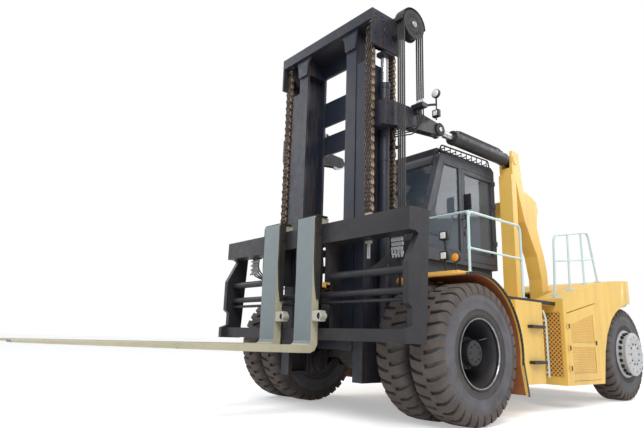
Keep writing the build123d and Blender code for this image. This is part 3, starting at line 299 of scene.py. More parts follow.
def lamp_lens(name, colour):
    """A moulded lens with fine ribs."""
    tree = NodeTree(name)
    tone = tree.spread(tree.noise(30.0, 3.0), 0.3, 0.7)
    tree.plain(Base_Color=tree.mix(tone, shade(colour, 0.85), colour), Roughness=0.16)
    tree.bump(tree.noise(70.0, 2.0, (1.0, 1.0, 0.1)), 0.3, 0.004)
    return tree.material


def finishes(scene):
    """Every material of the machine by its record slot."""
    paint = scene.forklift_paint
    return {
        "yellow": machine_paint("yellow_paint", tuple(paint.yellow), 0.42, scene, dust=0.6, chips=0.1),
        "black": machine_paint("black_paint", tuple(paint.carriage), 0.46, scene, dust=0.35, chips=0.5,
                               shine=0.3),
        "mast": greased_and_side_lit_paint("mast_paint", tuple(paint.mast), scene),
        "cab_grey": machine_paint("cab_paint", tuple(paint.cab), 0.44, scene, dust=0.3, shine=0.35),
        "fork_grey": fork_paint("fork_paint", tuple(paint.forks), scene),
        "cream": machine_paint("cream_paint", (0.44, 0.42, 0.36), 0.5, scene, dust=0.5, chips=0.6),
        "white": machine_paint("hub_paint", (0.52, 0.53, 0.53), 0.5, scene, dust=0.8, chips=0.6),
        "rail": machine_paint("rail_paint", tuple(paint.rails), 0.4, scene, dust=0.2, chips=0.2),
        "steel": bare_metal("chrome_rod", (0.50, 0.51, 0.53), 0.24, 0.6),
        "chain": bare_metal("oiled_chain", (0.16, 0.13, 0.11), 0.42, 0.8),
        "iron": machine_paint("cast_iron", (0.020, 0.019, 0.019), 0.62, scene, dust=0.5, chips=0.6,
                              shine=0.3),
        "rubber": tyre_rubber("tyre_rubber", tuple(paint.rubber), scene),
        "sidewall": tyre_rubber("tyre_sidewall", (0.088, 0.088, 0.100), scene),
        "bead": tyre_rubber("tyre_bead", (0.040, 0.037, 0.040), scene),
        "lip": bare_metal("worn_lip", (0.42, 0.42, 0.43), 0.34, 0.8),
        "amber": lamp_lens("amber_lens", (0.85, 0.33, 0.03)),
        # Reddish brown that stands for rust, and under the fenders and behind the screen holes also for
        # painted shade.
        "rust": machine_paint("rusty_underside", (0.30, 0.085, 0.020), 0.75, scene, dust=0.9, chips=0.9),
        "links": bare_metal("chain_links", (0.40, 0.29, 0.21), 0.38, 0.75),
        "hose": soft_plastic("hose_rubber", (0.018, 0.018, 0.02), 0.5),
        "glass": cab_pane("cab_glass"),
        # Yellow darkened to brown for the mesh slot: painted shade on the screens that look forward and
        # behind their holes.
        "mesh": machine_paint("mesh_paint", (0.16, 0.10, 0.04), 0.5, scene),
        "seat": soft_plastic("seat_cloth", (0.03, 0.03, 0.034), 0.8),
        "lamp": lamp_lens("lamp_lens", (0.80, 0.82, 0.84)),
        "plastic": soft_plastic("console_plastic", (0.03, 0.03, 0.032), 0.55), }


def aim(position, yaw, pitch, roll):
    """A camera matrix from its place and its angles in degrees; yaw 0 looks along +Y."""
    yaw, pitch, roll = (math.radians(angle) for angle in (yaw, pitch, roll))
    forward = Vector((-math.sin(yaw) * math.cos(pitch), math.cos(yaw) * math.cos(pitch), math.sin(pitch)))
    right = Vector((math.cos(yaw), math.sin(yaw), 0.0))
    up = right.cross(forward)
    tilted_right = right * math.cos(roll) + up * math.sin(roll)
    tilted_up = up * math.cos(roll) - right * math.sin(roll)
    turn = Matrix((tilted_right, tilted_up, -forward)).transposed().to_4x4()
    return Matrix.Translation(position) @ turn


class FORKLIFT_OT_paint(bpy.types.Operator):
    """Gives each CAD node the finish of its slot"""
    bl_idname = "forklift.paint"
    bl_label = "Paint the machine"

    def execute(self, context):
        table = finishes(context.scene)
        for name, node in NODES.items():
            node.data.materials.clear()
            node.data.materials.append(table[NODE_SLOT[name]])
        return {"FINISHED"}


SHIFT = Vector((0.0, -1.110, 0.0))
HUB_Z = 0.930
WHEELBASE = 5.950
FRONT_OUTER_X = 1.955
FRONT_INNER_X = 1.375
REAR_X = 1.505
CHAIN_X = 1.030
SHEAVE_Y = -0.700
SHEAVE_Z = 5.810
HOSE_X = (1.320, 1.360, 1.400, 1.440)
HOSE_Y = -0.400
HOSE_Z = 5.930
SIDES = (("left", 1), ("right", -1))
FULL_TURN = 2.0 * math.pi


class Shape:
    """One piece in the making, in metres, with the front axle at y = 0 until it is done."""

    def __init__(self):
        self.mesh = bmesh.new()

    def tint(self, faces, material):
        for face in faces:
            face.material_index = material

    def cube(self, matrix, bevel=0.0, material=0, segments=1):
        made = bmesh.ops.create_cube(self.mesh, size=1.0, matrix=matrix)["verts"]
        self.tint({face for vert in made for face in vert.link_faces}, material)
        if bevel:
            edges = list({edge for vert in made for edge in vert.link_edges})
            bmesh.ops.bevel(self.mesh, geom=edges, offset=bevel, segments=segments, profile=0.5,
                            affect="EDGES", material=-1, clamp_overlap=True)

    def box(self, x, y, z, bevel=0.004, material=0, segments=1):
        """A box from its low and high x, y and z."""
        spans = [sorted(span) for span in (x, y, z)]
        middle = [(low + high) / 2 for low, high in spans]
        size = [high - low for low, high in spans]
        self.cube(Matrix.Translation(middle) @ Matrix.Diagonal((*size, 1.0)), bevel, material, segments)

    def rod(self, start, end, radius, sides=16, bevel=0.0, material=0, end_radius=None):
        """A round or many-sided bar between two points."""
        start, end = Vector(start), Vector(end)
        run = end - start
        place = Matrix.Translation((start + end) / 2) @ run.to_track_quat("Z", "Y").to_matrix().to_4x4()
        made = bmesh.ops.create_cone(self.mesh, cap_ends=True, segments=sides, radius1=radius,
                                     radius2=radius if end_radius is None else end_radius, depth=run.length,
                                     matrix=place)["verts"]
        faces = {face for vert in made for face in vert.link_faces}
        self.tint(faces, material)
        if bevel:
            rims = {edge for face in faces if len(face.verts) > 4 for edge in face.edges}
            bmesh.ops.bevel(self.mesh, geom=list(rims), offset=bevel, segments=1, profile=0.5, affect="EDGES",
                            material=-1, clamp_overlap=True)

    def plate(self, points, x0, x1, bevel=0.0, material=0):
        """A plate with a (y, z) outline from x0 to x1."""
        face = self.mesh.faces.new([self.mesh.verts.new((x0, y, z)) for y, z in points])
        grown = bmesh.ops.extrude_face_region(self.mesh, geom=[face])["geom"]
        verts = [item for item in grown if isinstance(item, bmesh.types.BMVert)]
        bmesh.ops.translate(self.mesh, verts=verts, vec=(x1 - x0, 0.0, 0.0))
        faces = {near for vert in verts for near in vert.link_faces}
        self.tint(faces, material)
        if bevel:
            edges = {edge for vert in verts for edge in vert.link_edges}
            bmesh.ops.bevel(self.mesh, geom=list(edges), offset=bevel, segments=1, profile=0.5,
                            affect="EDGES", material=-1, clamp_overlap=True)

    def lathe(self, profile, y, z, steps=48, material=0, closed=False):
        """A profile of (x, radius) turned round an axle line along x."""
        start = len(self.mesh.faces)
        verts = [self.mesh.verts.new((x, y + radius, z)) for x, radius in profile]
        pairs = list(zip(verts, verts[1:]))
        if closed:
            pairs.append((verts[-1], verts[0]))
        edges = [self.mesh.edges.new(pair) for pair in pairs]
        bmesh.ops.spin(self.mesh, geom=verts + edges, cent=(0.0, y, z), axis=(1.0, 0.0, 0.0), angle=FULL_TURN,
                       steps=steps, use_merge=True)
        self.mesh.faces.ensure_lookup_table()
        faces = self.mesh.faces[start:]
        self.tint(faces, material)
        middle = {vert for face in faces for vert in face.verts
                  if math.hypot(vert.co.y - y, vert.co.z - z) < 1e-4}
        bmesh.ops.remove_doubles(self.mesh, verts=list(middle), dist=1e-4)

    def bend(self, place, across, radius, centre, turn, steps=14, sides=10, material=0):
        """A round section swept by turn about an axle line along x."""
        matrix = Matrix.Translation(place) @ Vector(across).to_track_quat("Z", "Y").to_matrix().to_4x4()
        made = bmesh.ops.create_circle(self.mesh, cap_ends=True, segments=sides, radius=radius,
                                       matrix=matrix)["verts"]
        face = made[0].link_faces[0]
        face.material_index = material
        bmesh.ops.spin(self.mesh, geom=[face], cent=centre, axis=(1.0, 0.0, 0.0), angle=turn, steps=steps)

    def pipe(self, points, radius, bend=0.10, material=0, resolution=6):
        """A pipe through points with rounded bends."""
        curve = bpy.data.curves.new("pipe", "CURVE")
        curve.dimensions = "3D"
        curve.bevel_depth = radius
        curve.bevel_resolution = 2
        curve.resolution_u = resolution
        curve.use_fill_caps = True
        knots = []
        line = [Vector(point) for point in points]
        for index, corner in enumerate(line):
            if index in (0, len(line) - 1):
                knots.append((corner, corner, corner))
                continue
            for other, leaving in ((line[index - 1], False), (line[index + 1], True)):
                gap = other - corner
                knot = corner + gap.normalized() * min(bend, gap.length * 0.45)
                inner = knot + (corner - knot) * 0.55
                knots.append((inner, knot, knot) if leaving else (knot, knot, inner))
        spline = curve.splines.new("BEZIER")
        spline.bezier_points.add(len(knots) - 1)
        for point, (left, middle, right) in zip(spline.bezier_points, knots):
            point.handle_left_type = point.handle_right_type = "FREE"
            point.handle_left, point.co, point.handle_right = left, middle, right
        holder = bpy.data.objects.new("pipe", curve)
        mesh = bpy.data.meshes.new_from_object(holder)
        bpy.data.objects.remove(holder)
        bpy.data.curves.remove(curve)
        self.stamp(mesh, Matrix.Identity(4), material)
        bpy.data.meshes.remove(mesh)

    def stamp(self, mesh, matrix, material=None):
        """Adds a copy of a small mesh, moved by matrix."""
        copy = mesh.copy()
        copy.transform(matrix)
        if material is not None:
            copy.polygons.foreach_set("material_index", [material] * len(copy.polygons))
        self.mesh.from_mesh(copy)
        bpy.data.meshes.remove(copy)

    def bolts(self, x, y, z, ring, count, size, rise, material=0):
        """Hexagon heads in a ring on a face that looks along x; rise is signed."""
        for index in range(count):
            angle = FULL_TURN * index / count
            place = Vector((x, y + ring * math.cos(angle), z + ring * math.sin(angle)))
            self.rod(place, place + Vector((rise, 0.0, 0.0)), size, sides=6, bevel=size * 0.15,
                     material=material)

    def source(self, name):
        """The shape as a small mesh to stamp."""
        bmesh.ops.recalc_face_normals(self.mesh, faces=self.mesh.faces)
        mesh = bpy.data.meshes.new(name)
        self.mesh.to_mesh(mesh)
        self.mesh.free()
        return mesh

    def done(self, name, slot, materials, body=None, replaced=(), span=None, crease=38.0):
        """Places the finished piece on its body, or, when a span is given, bakes it in place on no body."""
        bmesh.ops.remove_doubles(self.mesh, verts=self.mesh.verts, dist=1e-6)
        bmesh.ops.recalc_face_normals(self.mesh, faces=self.mesh.faces)
        bmesh.ops.translate(self.mesh, verts=self.mesh.verts, vec=SHIFT)
        mesh = bpy.data.meshes.new(name)
        self.mesh.to_mesh(mesh)
        self.mesh.free()
        for material in materials:
            mesh.materials.append(bpy.data.materials[material])
        mesh.shade_smooth()
        mesh.set_sharp_from_angle(angle=math.radians(crease))
        piece = bpy.data.objects.new(name, mesh)
        bpy.context.scene.collection.objects.link(piece)
        if span:
            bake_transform(piece)
        else:
            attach(piece, body)
        if replaced:
            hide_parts(*replaced)
        return piece


LUGS = 34
LUG_PATH = ((-0.020, 0.9285), (0.050, 0.9285), (0.120, 0.9275), (0.175, 0.923), (0.208, 0.907),
            (0.229, 0.875),
            (0.240, 0.830), (0.2435, 0.770))
CARCASS = ((0.000, 0.884), (0.100, 0.882), (0.170, 0.876), (0.205, 0.860), (0.226, 0.820), (0.237, 0.765),
           (0.2420, 0.712), (0.2435, 0.700), (0.2435, 0.690), (0.2400, 0.680), (0.2405, 0.630),
           (0.2370, 0.590),
           (0.2395, 0.580), (0.2385, 0.568), (0.2335, 0.560), (0.2290, 0.525), (0.2310, 0.515),
           (0.2290, 0.503),
           (0.2235, 0.495), (0.2220, 0.478), (0.2205, 0.462), (0.205, 0.443))


def lug_source(hand, width):
    """One tread lug of a tyre about the x axis, bent back towards the shoulder."""
    shape = Shape()
    mesh = shape.mesh
    line = []
    for x, radius in LUG_PATH:
        lag = 0.055 * (max(x, 0.0) / 0.245) ** 2
        line.append(mesh.verts.new((hand * x, -width / 2 + lag, radius)))
    edges = [mesh.edges.new(pair) for pair in zip(line, line[1:])]
    grown = bmesh.ops.extrude_edge_only(mesh, edges=edges)["geom"]
    bmesh.ops.translate(mesh, verts=[item for item in grown if isinstance(item, bmesh.types.BMVert)],
                        vec=(0.0, width, 0.0))
    base = bmesh.ops.extrude_face_region(mesh, geom=list(mesh.faces), use_keep_orig=True)["geom"]
    for vert in (item for item in base if isinstance(item, bmesh.types.BMVert)):
        vert.co.z -= 0.052
        vert.co.x *= 0.86
    outer = [edge for edge in mesh.edges if all(vert.co.z > 0.80 for vert in edge.verts)
             and len(edge.link_faces) == 2 and edge.calc_face_angle(0.0) > 0.8]
    bmesh.ops.bevel(mesh, geom=outer, offset=0.007, segments=1, profile=0.5, affect="EDGES", material=-1,
                    clamp_overlap=True)
    return shape.source("lug")


def add_tyre(shape, x, y, lugs):
    """One tyre: carcass, bead ribs and two staggered rows of lugs."""
    half = [(x + across, radius) for across, radius in CARCASS]
    shape.lathe(half + [(x - across, radius) for across, radius in reversed(CARCASS[1:])], y, HUB_Z, steps=72,
                material=1, closed=True)
    for face in shape.mesh.faces:
        middle = face.calc_center_median()
        if face.material_index == 1 and math.hypot(middle.y - y, middle.z - HUB_Z) < 0.575:
            face.material_index = 2
    pitch = FULL_TURN / LUGS
    centre = Matrix.Translation((x, y, HUB_Z))
    for index in range(LUGS):
        for row, lug in enumerate(lugs):
            shape.stamp(lug, centre @ Matrix.Rotation(pitch * (index + 0.5 * row), 4, "X"), 0)


class FORKLIFT_OT_tyres(bpy.types.Operator):
    """Tyres with staggered lugs, twin at the front and single at the rear"""
    bl_idname = "forklift.tyres"
    bl_label = "Tyres"

    def execute(self, context):
        lugs = [lug_source(hand, context.scene.forklift_wear.lug_width) for hand in (1, -1)]
        for side_name, side in SIDES:
            front = Shape()
            for x in (FRONT_OUTER_X, FRONT_INNER_X):
                add_tyre(front, side * x, 0.0, lugs)
            front.done(f"front_twin_tyres_{side_name}", "rubber",
                       ("tyre_rubber", "tyre_sidewall", "tyre_bead"),
                       body=f"front_{side_name}_wheels", replaced=[f"front_tyres_{side_name}"])
            rear = Shape()
            add_tyre(rear, side * REAR_X, WHEELBASE, lugs)
            rear.done(f"rear_single_tyre_{side_name}", "rubber",
                      ("tyre_rubber", "tyre_sidewall", "tyre_bead"),
                      body=f"rear_{side_name}_wheel", replaced=[f"rear_tyre_{side_name}"])
        for lug in lugs:
            bpy.data.meshes.remove(lug)
        return {"FINISHED"}


FRONT_RIM = ((2.105, 0.0), (2.105, 0.150), (2.090, 0.168), (1.985, 0.172), (1.975, 0.212), (1.760, 0.220),
             (1.750, 0.292), (1.692, 0.304), (1.690, 0.385), (1.716, 0.402), (2.030, 0.405), (2.090, 0.417),
             (2.135, 0.436), (2.160, 0.449), (2.180, 0.452), (2.1905, 0.460), (2.1905, 0.474), (2.178, 0.476),
             (2.1777, 0.4395), (1.7327, 0.4395), (1.7327, 0.476), (1.5973, 0.476), (1.5973, 0.4395),
             (1.1527, 0.4395), (1.1527, 0.476), (1.1385, 0.476), (1.1385, 0.405), (1.640, 0.405),
             (1.650, 0.230),
             (1.485, 0.230), (1.485, 0.0915), (2.015, 0.0915), (2.015, 0.0))
REAR_RIM = ((1.915, 0.0), (1.915, 0.135), (1.903, 0.150), (1.903, 0.290), (1.912, 0.305), (1.912, 0.372),
            (1.903, 0.390), (1.895, 0.428), (1.868, 0.430), (1.865, 0.380), (1.760, 0.378), (1.752, 0.425),
            (1.7415, 0.452), (1.7415, 0.474), (1.7278, 0.476), (1.7278, 0.4395), (1.2822, 0.4395),
            (1.2822, 0.476), (1.2685, 0.476), (1.2685, 0.405), (1.560, 0.405), (1.565, 0.220), (1.445, 0.220),
            (1.445, 0.0915), (1.645, 0.0915), (1.645, 0.0))


class FORKLIFT_OT_rims(bpy.types.Operator):
    """Deep front rims and dished pale rear rims with their bolts"""
    bl_idname = "forklift.rims"
    bl_label = "Rims"

    def execute(self, context):
        for side_name, side in SIDES:
            front = Shape()
            front.lathe([(side * x, radius) for x, radius in FRONT_RIM], 0.0, HUB_Z, steps=64)
            front.lathe([(side * x, radius) for x,
                         radius in ((2.1795, 0.441), (2.1905, 0.446), (2.1910, 0.456),
                                                              (2.1795, 0.4515))], 0.0, HUB_Z, steps=64,
                        material=1, closed=True)
            front.bolts(side * 1.691, 0.0, HUB_Z, 0.345, 24, 0.017, side * 0.030, material=2)
            front.bolts(side * 1.979, 0.0, HUB_Z, 0.192, 16, 0.012, side * 0.018, material=2)
            front.bolts(side * 2.104, 0.0, HUB_Z, 0.110, 8, 0.012, side * 0.014, material=2)
            front.rod((side * 2.060, 0.34, HUB_Z + 0.20), (side * 1.960, 0.30, HUB_Z + 0.17), 0.007,
                      material=1)
            front.done(f"front_dished_rims_{side_name}", "black", ("black_paint", "worn_lip", "cast_iron"),
                       body=f"front_{side_name}_wheels", replaced=[f"front_rims_{side_name}"])
            rear = Shape()
            rear.lathe([(side * x, radius) for x, radius in REAR_RIM], WHEELBASE, HUB_Z, steps=64)
            rear.bolts(side * 1.911, WHEELBASE, HUB_Z, 0.340, 12, 0.018, side * 0.004, material=1)
            rear.bolts(side * 1.902, WHEELBASE, HUB_Z, 0.205, 10, 0.021, side * 0.012, material=2)
            for index in range(20):
                angle = FULL_TURN * index / 20
                turn = (Matrix.Translation((side * 1.775, WHEELBASE, HUB_Z)) @ Matrix.Rotation(angle, 4, "X")
                        @ Matrix.Translation((0.0, 0.0, 0.405)))
                rear.cube(turn @ Matrix.Diagonal((0.055, 0.060, 0.048, 1.0)), 0.006, material=2)
            rear.done(f"rear_dished_rim_{side_name}", "white", ("hub_paint", "cast_iron", "black_paint"),
                      body=f"rear_{side_name}_wheel", replaced=[f"rear_rim_{side_name}"])
        return {"FINISHED"}


LINK_PITCH = 0.066
LINK_OFFSETS = ((-0.068, -0.034, 0.0, 0.034, 0.068), (-0.051, -0.017, 0.017, 0.051))


def link_source(offsets):
    """Plates of one step of a leaf chain with its pin, standing along z."""
    shape = Shape()
    for offset in offsets:
        matrix = Matrix.Translation((offset, 0.0, 0.0)) @ Matrix.Diagonal((1.0, 1.0, 1.40, 1.0))
        matrix = matrix @ Matrix.Rotation(math.pi / 2, 4, "Y")
        made = bmesh.ops.create_cone(shape.mesh, cap_ends=True, segments=10, radius1=0.031, radius2=0.031,
                                     depth=0.0135, matrix=matrix)["verts"]
        shape.tint({face for vert in made for face in vert.link_faces}, 1 if offset > 0.06 else 0)
    shape.rod((-0.084, 0.0, LINK_PITCH / 2), (0.084, 0.0, LINK_PITCH / 2), 0.014, sides=8, material=1)
    return shape.source("links")


class FORKLIFT_OT_chains(bpy.types.Operator):
    """Leaf chains over the mast head, front and rear runs, and their sheaves"""
    bl_idname = "forklift.chains"
    bl_label = "Lift chains"

    def execute(self, context):
        links = [link_source(offsets) for offsets in LINK_OFFSETS]
        turn = 0.240
        runs = (("lift_leaf_chains", SHEAVE_Y - turn, 2.830, ["lift_chains"],
                 ("mast_inner", "carriage", (0.0, SHEAVE_Y, SHEAVE_Z + 0.25), (0.0, SHEAVE_Y, 2.60))),
                ("rear_leaf_chains", SHEAVE_Y + turn, 2.620, ["rear_chains"],
                 ("mast_outer", "mast_inner", (0.0, SHEAVE_Y, 2.35), (0.0, SHEAVE_Y, SHEAVE_Z + 0.25))))
        for name, y, low, replaced, span in runs:
            run = Shape()
            for _, side in SIDES:
                z = SHEAVE_Z
                step = 0
                while z > low:
                    run.stamp(links[step % 2], Matrix.Translation((side * CHAIN_X, y, z)))
                    z -= LINK_PITCH
                    step += 1
            run.done(name, "chain", ("oiled_chain", "chain_links"), span=span, replaced=replaced, crease=45.0)
        wrap = Shape()
        count = round(math.pi * turn / LINK_PITCH)
        for _, side in SIDES:
            for step in range(count + 1):
                angle = math.pi * step / count
                matrix = (Matrix.Translation((side * CHAIN_X, SHEAVE_Y, SHEAVE_Z))
                          @ Matrix.Rotation(math.pi - angle, 4, "X") @ Matrix.Translation((0.0, turn, 0.0)))
                wrap.stamp(links[step % 2], matrix)
            low, high = CHAIN_X - 0.084, CHAIN_X + 0.084
            profile = ((high, 0.056), (high, 0.232), (high - 0.006, 0.236), (high - 0.012, 0.203),
                       (low + 0.012, 0.203), (low + 0.006, 0.236), (low, 0.232), (low, 0.056))
            wrap.lathe([(side * x, radius) for x, radius in profile], SHEAVE_Y, SHEAVE_Z, steps=40,
                       material=2, closed=True)
            wrap.rod((side * 0.931, SHEAVE_Y, SHEAVE_Z), (side * 1.1215, SHEAVE_Y, SHEAVE_Z), 0.057, sides=24,
                     material=2)
        wrap.done("chain_sheave_wraps", "chain", ("oiled_chain", "chain_links", "black_paint"),
                  body="mast_inner", replaced=["chain_sheaves"], crease=45.0)
        for link in links:
            bpy.data.meshes.remove(link)
        return {"FINISHED"}


class FORKLIFT_OT_hoses(bpy.types.Operator):
    """Held hydraulic hoses beside the mast and over their sheaves"""
    bl_idname = "forklift.hoses"
    bl_label = "Mast hoses"

    def execute(self, context):
        turn = 0.220
        runs = (("front_round_hoses", HOSE_Y - turn, 2.600, ["front_hoses"],
                 ("mast_inner", "carriage", (0.0, HOSE_Y, HOSE_Z + 0.25), (0.0, HOSE_Y, 2.35))),
                ("rear_round_hoses", HOSE_Y + turn, 4.670, ["rear_hoses"],
                 ("mast_outer", "mast_inner", (0.0, HOSE_Y, 4.42), (0.0, HOSE_Y, HOSE_Z + 0.25))))
        for name, y, low, replaced, span in runs:
            run = Shape()
            for _, side in SIDES:
                for x in HOSE_X:
                    run.pipe([(side * x, y, low), (side * x, y, HOSE_Z)], 0.0135, resolution=20)
                    run.rod((side * x, y, low), (side * x, y, low + 0.07), 0.0165, sides=6, bevel=0.002,
                            material=1)
            run.done(name, "hose", ("hose_rubber", "worn_lip"), span=span, replaced=replaced)
        wrap = Shape()
        for _, side in SIDES:
            for x in HOSE_X:
                wrap.bend((side * x, HOSE_Y + turn, HOSE_Z), (0.0, 0.0, 1.0), 0.0135,
                          (0.0, HOSE_Y, HOSE_Z), math.pi)
        wrap.done("hose_wraps", "hose", ("hose_rubber",), body="mast_inner")
        loops = Shape()
        for _, side in SIDES:
            for index, x in enumerate(HOSE_X):
                drop = 4.20 + 0.035 * index
                loops.pipe([(side * x, HOSE_Y + turn, 4.640), (side * x, HOSE_Y + turn, drop),
                            (side * (x - 0.05), -0.47, drop - 0.10), (side * 1.17, -0.60, drop - 0.14)],
                            0.0105, bend=0.16, material=1)
        for _, side in SIDES:
            for x, y in ((1.130, -0.400), (1.160, -0.400), (0.960, -0.395)):
                loops.pipe([(side * x, y, 1.30), (side * x, y, 4.10)], 0.011, material=0)
            for z in (1.60, 2.40, 3.20, 3.95):
                loops.box((side * 0.905, side * 0.935), (-0.505, -0.385), (z, z + 0.05), 0.004, material=2)
                loops.box((side * 0.905, side * 1.175), (-0.406, -0.382), (z, z + 0.05), 0.004, material=2)
        loops.done("mast_pipes", "black", ("black_paint", "cast_iron", "mast_paint"), body="mast_outer")
        return {"FINISHED"}


class FORKLIFT_OT_rails(bpy.types.Operator):
    """Bent tube handrails of the decks and of the hood"""
    bl_idname = "forklift.rails"
    bl_label = "Handrails"

    def execute(self, context):
        rails = Shape()
        radius = context.scene.forklift_wear.rail_radius
        for _, side in SIDES:
            x = side * 1.735
            rails.pipe([(x, 0.480, 2.082), (x, 0.480, 3.010), (x, 1.970, 3.010), (x, 1.970, 1.802)], radius,
                       bend=0.10)
            rails.pipe([(x, 0.480, 2.450), (x, 1.970, 2.450)], radius * 0.8)
            rails.pipe([(side * 1.002, 0.480, 3.010), (x, 0.480, 3.010)], radius * 0.8)
            for y, z in ((0.480, 2.080), (1.970, 1.800)):
                rails.rod((x, y, z), (x, y, z + 0.012), 0.055, sides=20, bevel=0.003)
            for y, z in ((0.480, 2.450), (1.970, 2.450), (0.480, 2.990)):
                rails.rod((x, y, z - 0.03), (x, y, z + 0.03), radius * 1.25, sides=16, bevel=0.004)
            x = side * 1.720
            line = ((3.18, 3.030), (4.60, 3.300))
            rise = (line[1][1] - line[0][1]) / (line[1][0] - line[0][0])
            feet = ((3.08, 1.893, 3.18), (3.68, 2.074, 3.73), (4.30, 2.229, 4.30), (4.90, 2.316, 4.60))
            rails.pipe([(x, feet[0][0], feet[0][1]), (x, *line[0]), (x, *line[1]),
                        (x, feet[3][0], feet[3][1])],
                       radius, bend=0.12)
            for y, z, top in feet[1:3]:
                rails.pipe([(x, y, z), (x, top, line[0][1] + (top - line[0][0]) * rise)], radius * 0.92)
            mids = []
            for y, z, top in feet:
                top_z = line[0][1] + (top - line[0][0]) * rise
                height = 2.56 + (y - 3.14) * 0.122
                mids.append((x, y + (top - y) * (height - z) / (top_z - z), height))
                slope = 0.3009 if y < 4.1 else 0.1455
                rails.plate([(y - 0.05, z - 0.05 * slope), (y + 0.05, z + 0.05 * slope),
                             (y + 0.05, z + 0.05 * slope + 0.018), (y - 0.05, z - 0.05 * slope + 0.018)],
                            x - 0.05, x + 0.05, 0.003)
                for shift in (-0.033, 0.033):
                    base = z + 0.012 + shift * slope
                    rails.rod((x + shift, y + shift, base), (x + shift, y + shift, base + 0.022), 0.010,
                              sides=6)
            rails.pipe([mids[0], mids[1]], radius * 0.7)
            rails.pipe([mids[1], mids[2]], radius * 0.7)
            rails.pipe([mids[2], mids[3]], radius * 0.7)
        rails.done("bent_handrails", "rail", ("rail_paint",), body="chassis", replaced=["handrails"])
        return {"FINISHED"}


LOUVRES_FRONT = 3.206
LOUVRES_REAR = 4.134


class FORKLIFT_OT_grilles(bpy.types.Operator):
    """Louvres and fittings of the engine doors, and the pierced side screens"""
    bl_idname = "forklift.grilles"
    bl_label = "Louvres and screens"

    def execute(self, context):
        for side_name, side in SIDES:
            louvres = Shape()
            for low, high, count in ((0.600, 1.040, 15), (1.120, 1.640, 18)):
                for index in range(count):
                    z = low + (high - low) * (index + 0.5) / count
                    front = 3.224
                    if z > 1.412:
                        front += (z - 1.412) / 0.220 * 0.900
                    if front > 4.05:
                        continue
                    slat = (Matrix.Translation((side * 1.890, (front + 4.116) / 2, z))
                            @ Matrix.Rotation(side * 0.62, 4, "Y")
                            @ Matrix.Diagonal((0.0235, 4.116 - front, 0.0050, 1.0)))
                    louvres.cube(slat, 0.0, material=0)
            for y0, y1, z0, z1 in ((LOUVRES_FRONT, LOUVRES_REAR, 0.586, 0.600),
                                   (LOUVRES_FRONT, LOUVRES_REAR, 1.040, 1.054),
                                   (LOUVRES_FRONT, LOUVRES_REAR, 1.106, 1.120),
                                   (LOUVRES_FRONT, 3.220, 0.600, 1.040),
                                   (4.120, LOUVRES_REAR, 0.600, 1.040), (LOUVRES_FRONT, 3.220, 1.120, 1.420),
                                   (4.120, LOUVRES_REAR, 1.120, 1.640)):
                louvres.box((side * 1.888, side * 1.9015), (y0, y1), (z0, z1), 0.002)
            louvres.plate([(LOUVRES_FRONT, 1.420), (LOUVRES_FRONT, 1.432), (LOUVRES_REAR, 1.655),
                           (LOUVRES_REAR, 1.643)], side * 1.888,
                          side * 1.9015)
            louvres.box((side * 1.896, side * 1.911), (4.155, 4.205), (1.085, 1.165), 0.004, material=1)
            louvres.rod((side * 1.900, 4.180, 1.125), (side * 1.918, 4.180, 1.125), 0.014, sides=20,
                        bevel=0.003, material=1)
            for z in (0.640, 0.980, 1.350):
                louvres.box((side * 1.899, side * 1.917), (3.092, 3.150), (z + 0.006, z + 0.084), 0.005,
                            material=1)
            louvres.done(f"engine_door_louvres_{side_name}", "yellow", ("yellow_paint", "black_paint"),
                         body=f"engine_door_{side_name}")

        screens = Shape()
        mesh = screens.mesh
        hole = 0.052
        cells = 24
        bmesh.ops.create_grid(mesh, x_segments=cells, y_segments=cells, size=cells * hole / 2,
                              matrix=Matrix.Rotation(math.pi / 4, 4, "Z"))
        rings = bmesh.ops.inset_individual(mesh, faces=list(mesh.faces), thickness=0.0085)["faces"]
        inner = [face for face in mesh.faces if face not in set(rings)]
        bmesh.ops.delete(mesh, geom=inner, context="FACES")
        for normal, place in (((1, 0, 0), (0.178, 0, 0)), ((-1, 0, 0), (-0.178, 0, 0)),
                              ((0, 1, 0), (0, 0.543, 0)),
                              ((0, -1, 0), (0, -0.543, 0))):
            bmesh.ops.bisect_plane(mesh, geom=mesh.verts[:] + mesh.edges[:] + mesh.faces[:], plane_co=place,
                                   plane_no=normal, clear_outer=True)
        bmesh.ops.remove_doubles(mesh, verts=mesh.verts, dist=1e-5)
        grown = bmesh.ops.extrude_face_region(mesh, geom=list(mesh.faces), use_keep_orig=True)["geom"]
        bmesh.ops.translate(mesh, verts=[item for item in grown if isinstance(item, bmesh.types.BMVert)],
                            vec=(0.0, 0.0, 0.005))
        sheet = screens.source("screen")
        panels = Shape()
        for _, side in SIDES:
            turn = Matrix.Translation((side * 1.655, 2.980, 1.080)) @ Matrix.Rotation(math.pi / 2, 4, "X")
            panels.stamp(sheet, turn, 0)
            for x0, x1, z0, z1 in ((1.461, 1.477, 0.521, 1.639), (1.833, 1.849, 0.521, 1.639),
                                   (1.477, 1.833, 0.521, 0.537), (1.477, 1.833, 1.623, 1.639)):
                panels.box((side * x0, side * x1), (2.974, 2.984), (z0, z1), 0.0015)
            # The sheet behind the holes is reddish brown: painted shade behind the screens.
            panels.box((side * 1.462, side * 1.848), (2.9845, 2.9875), (0.522, 1.638), 0.0, material=1)
        bpy.data.meshes.remove(sheet)
        panels.done("pierced_screens", "mesh", ("yellow_paint", "rusty_underside"), body="chassis",
                    replaced=["mesh_panels"])
        return {"FINISHED"}


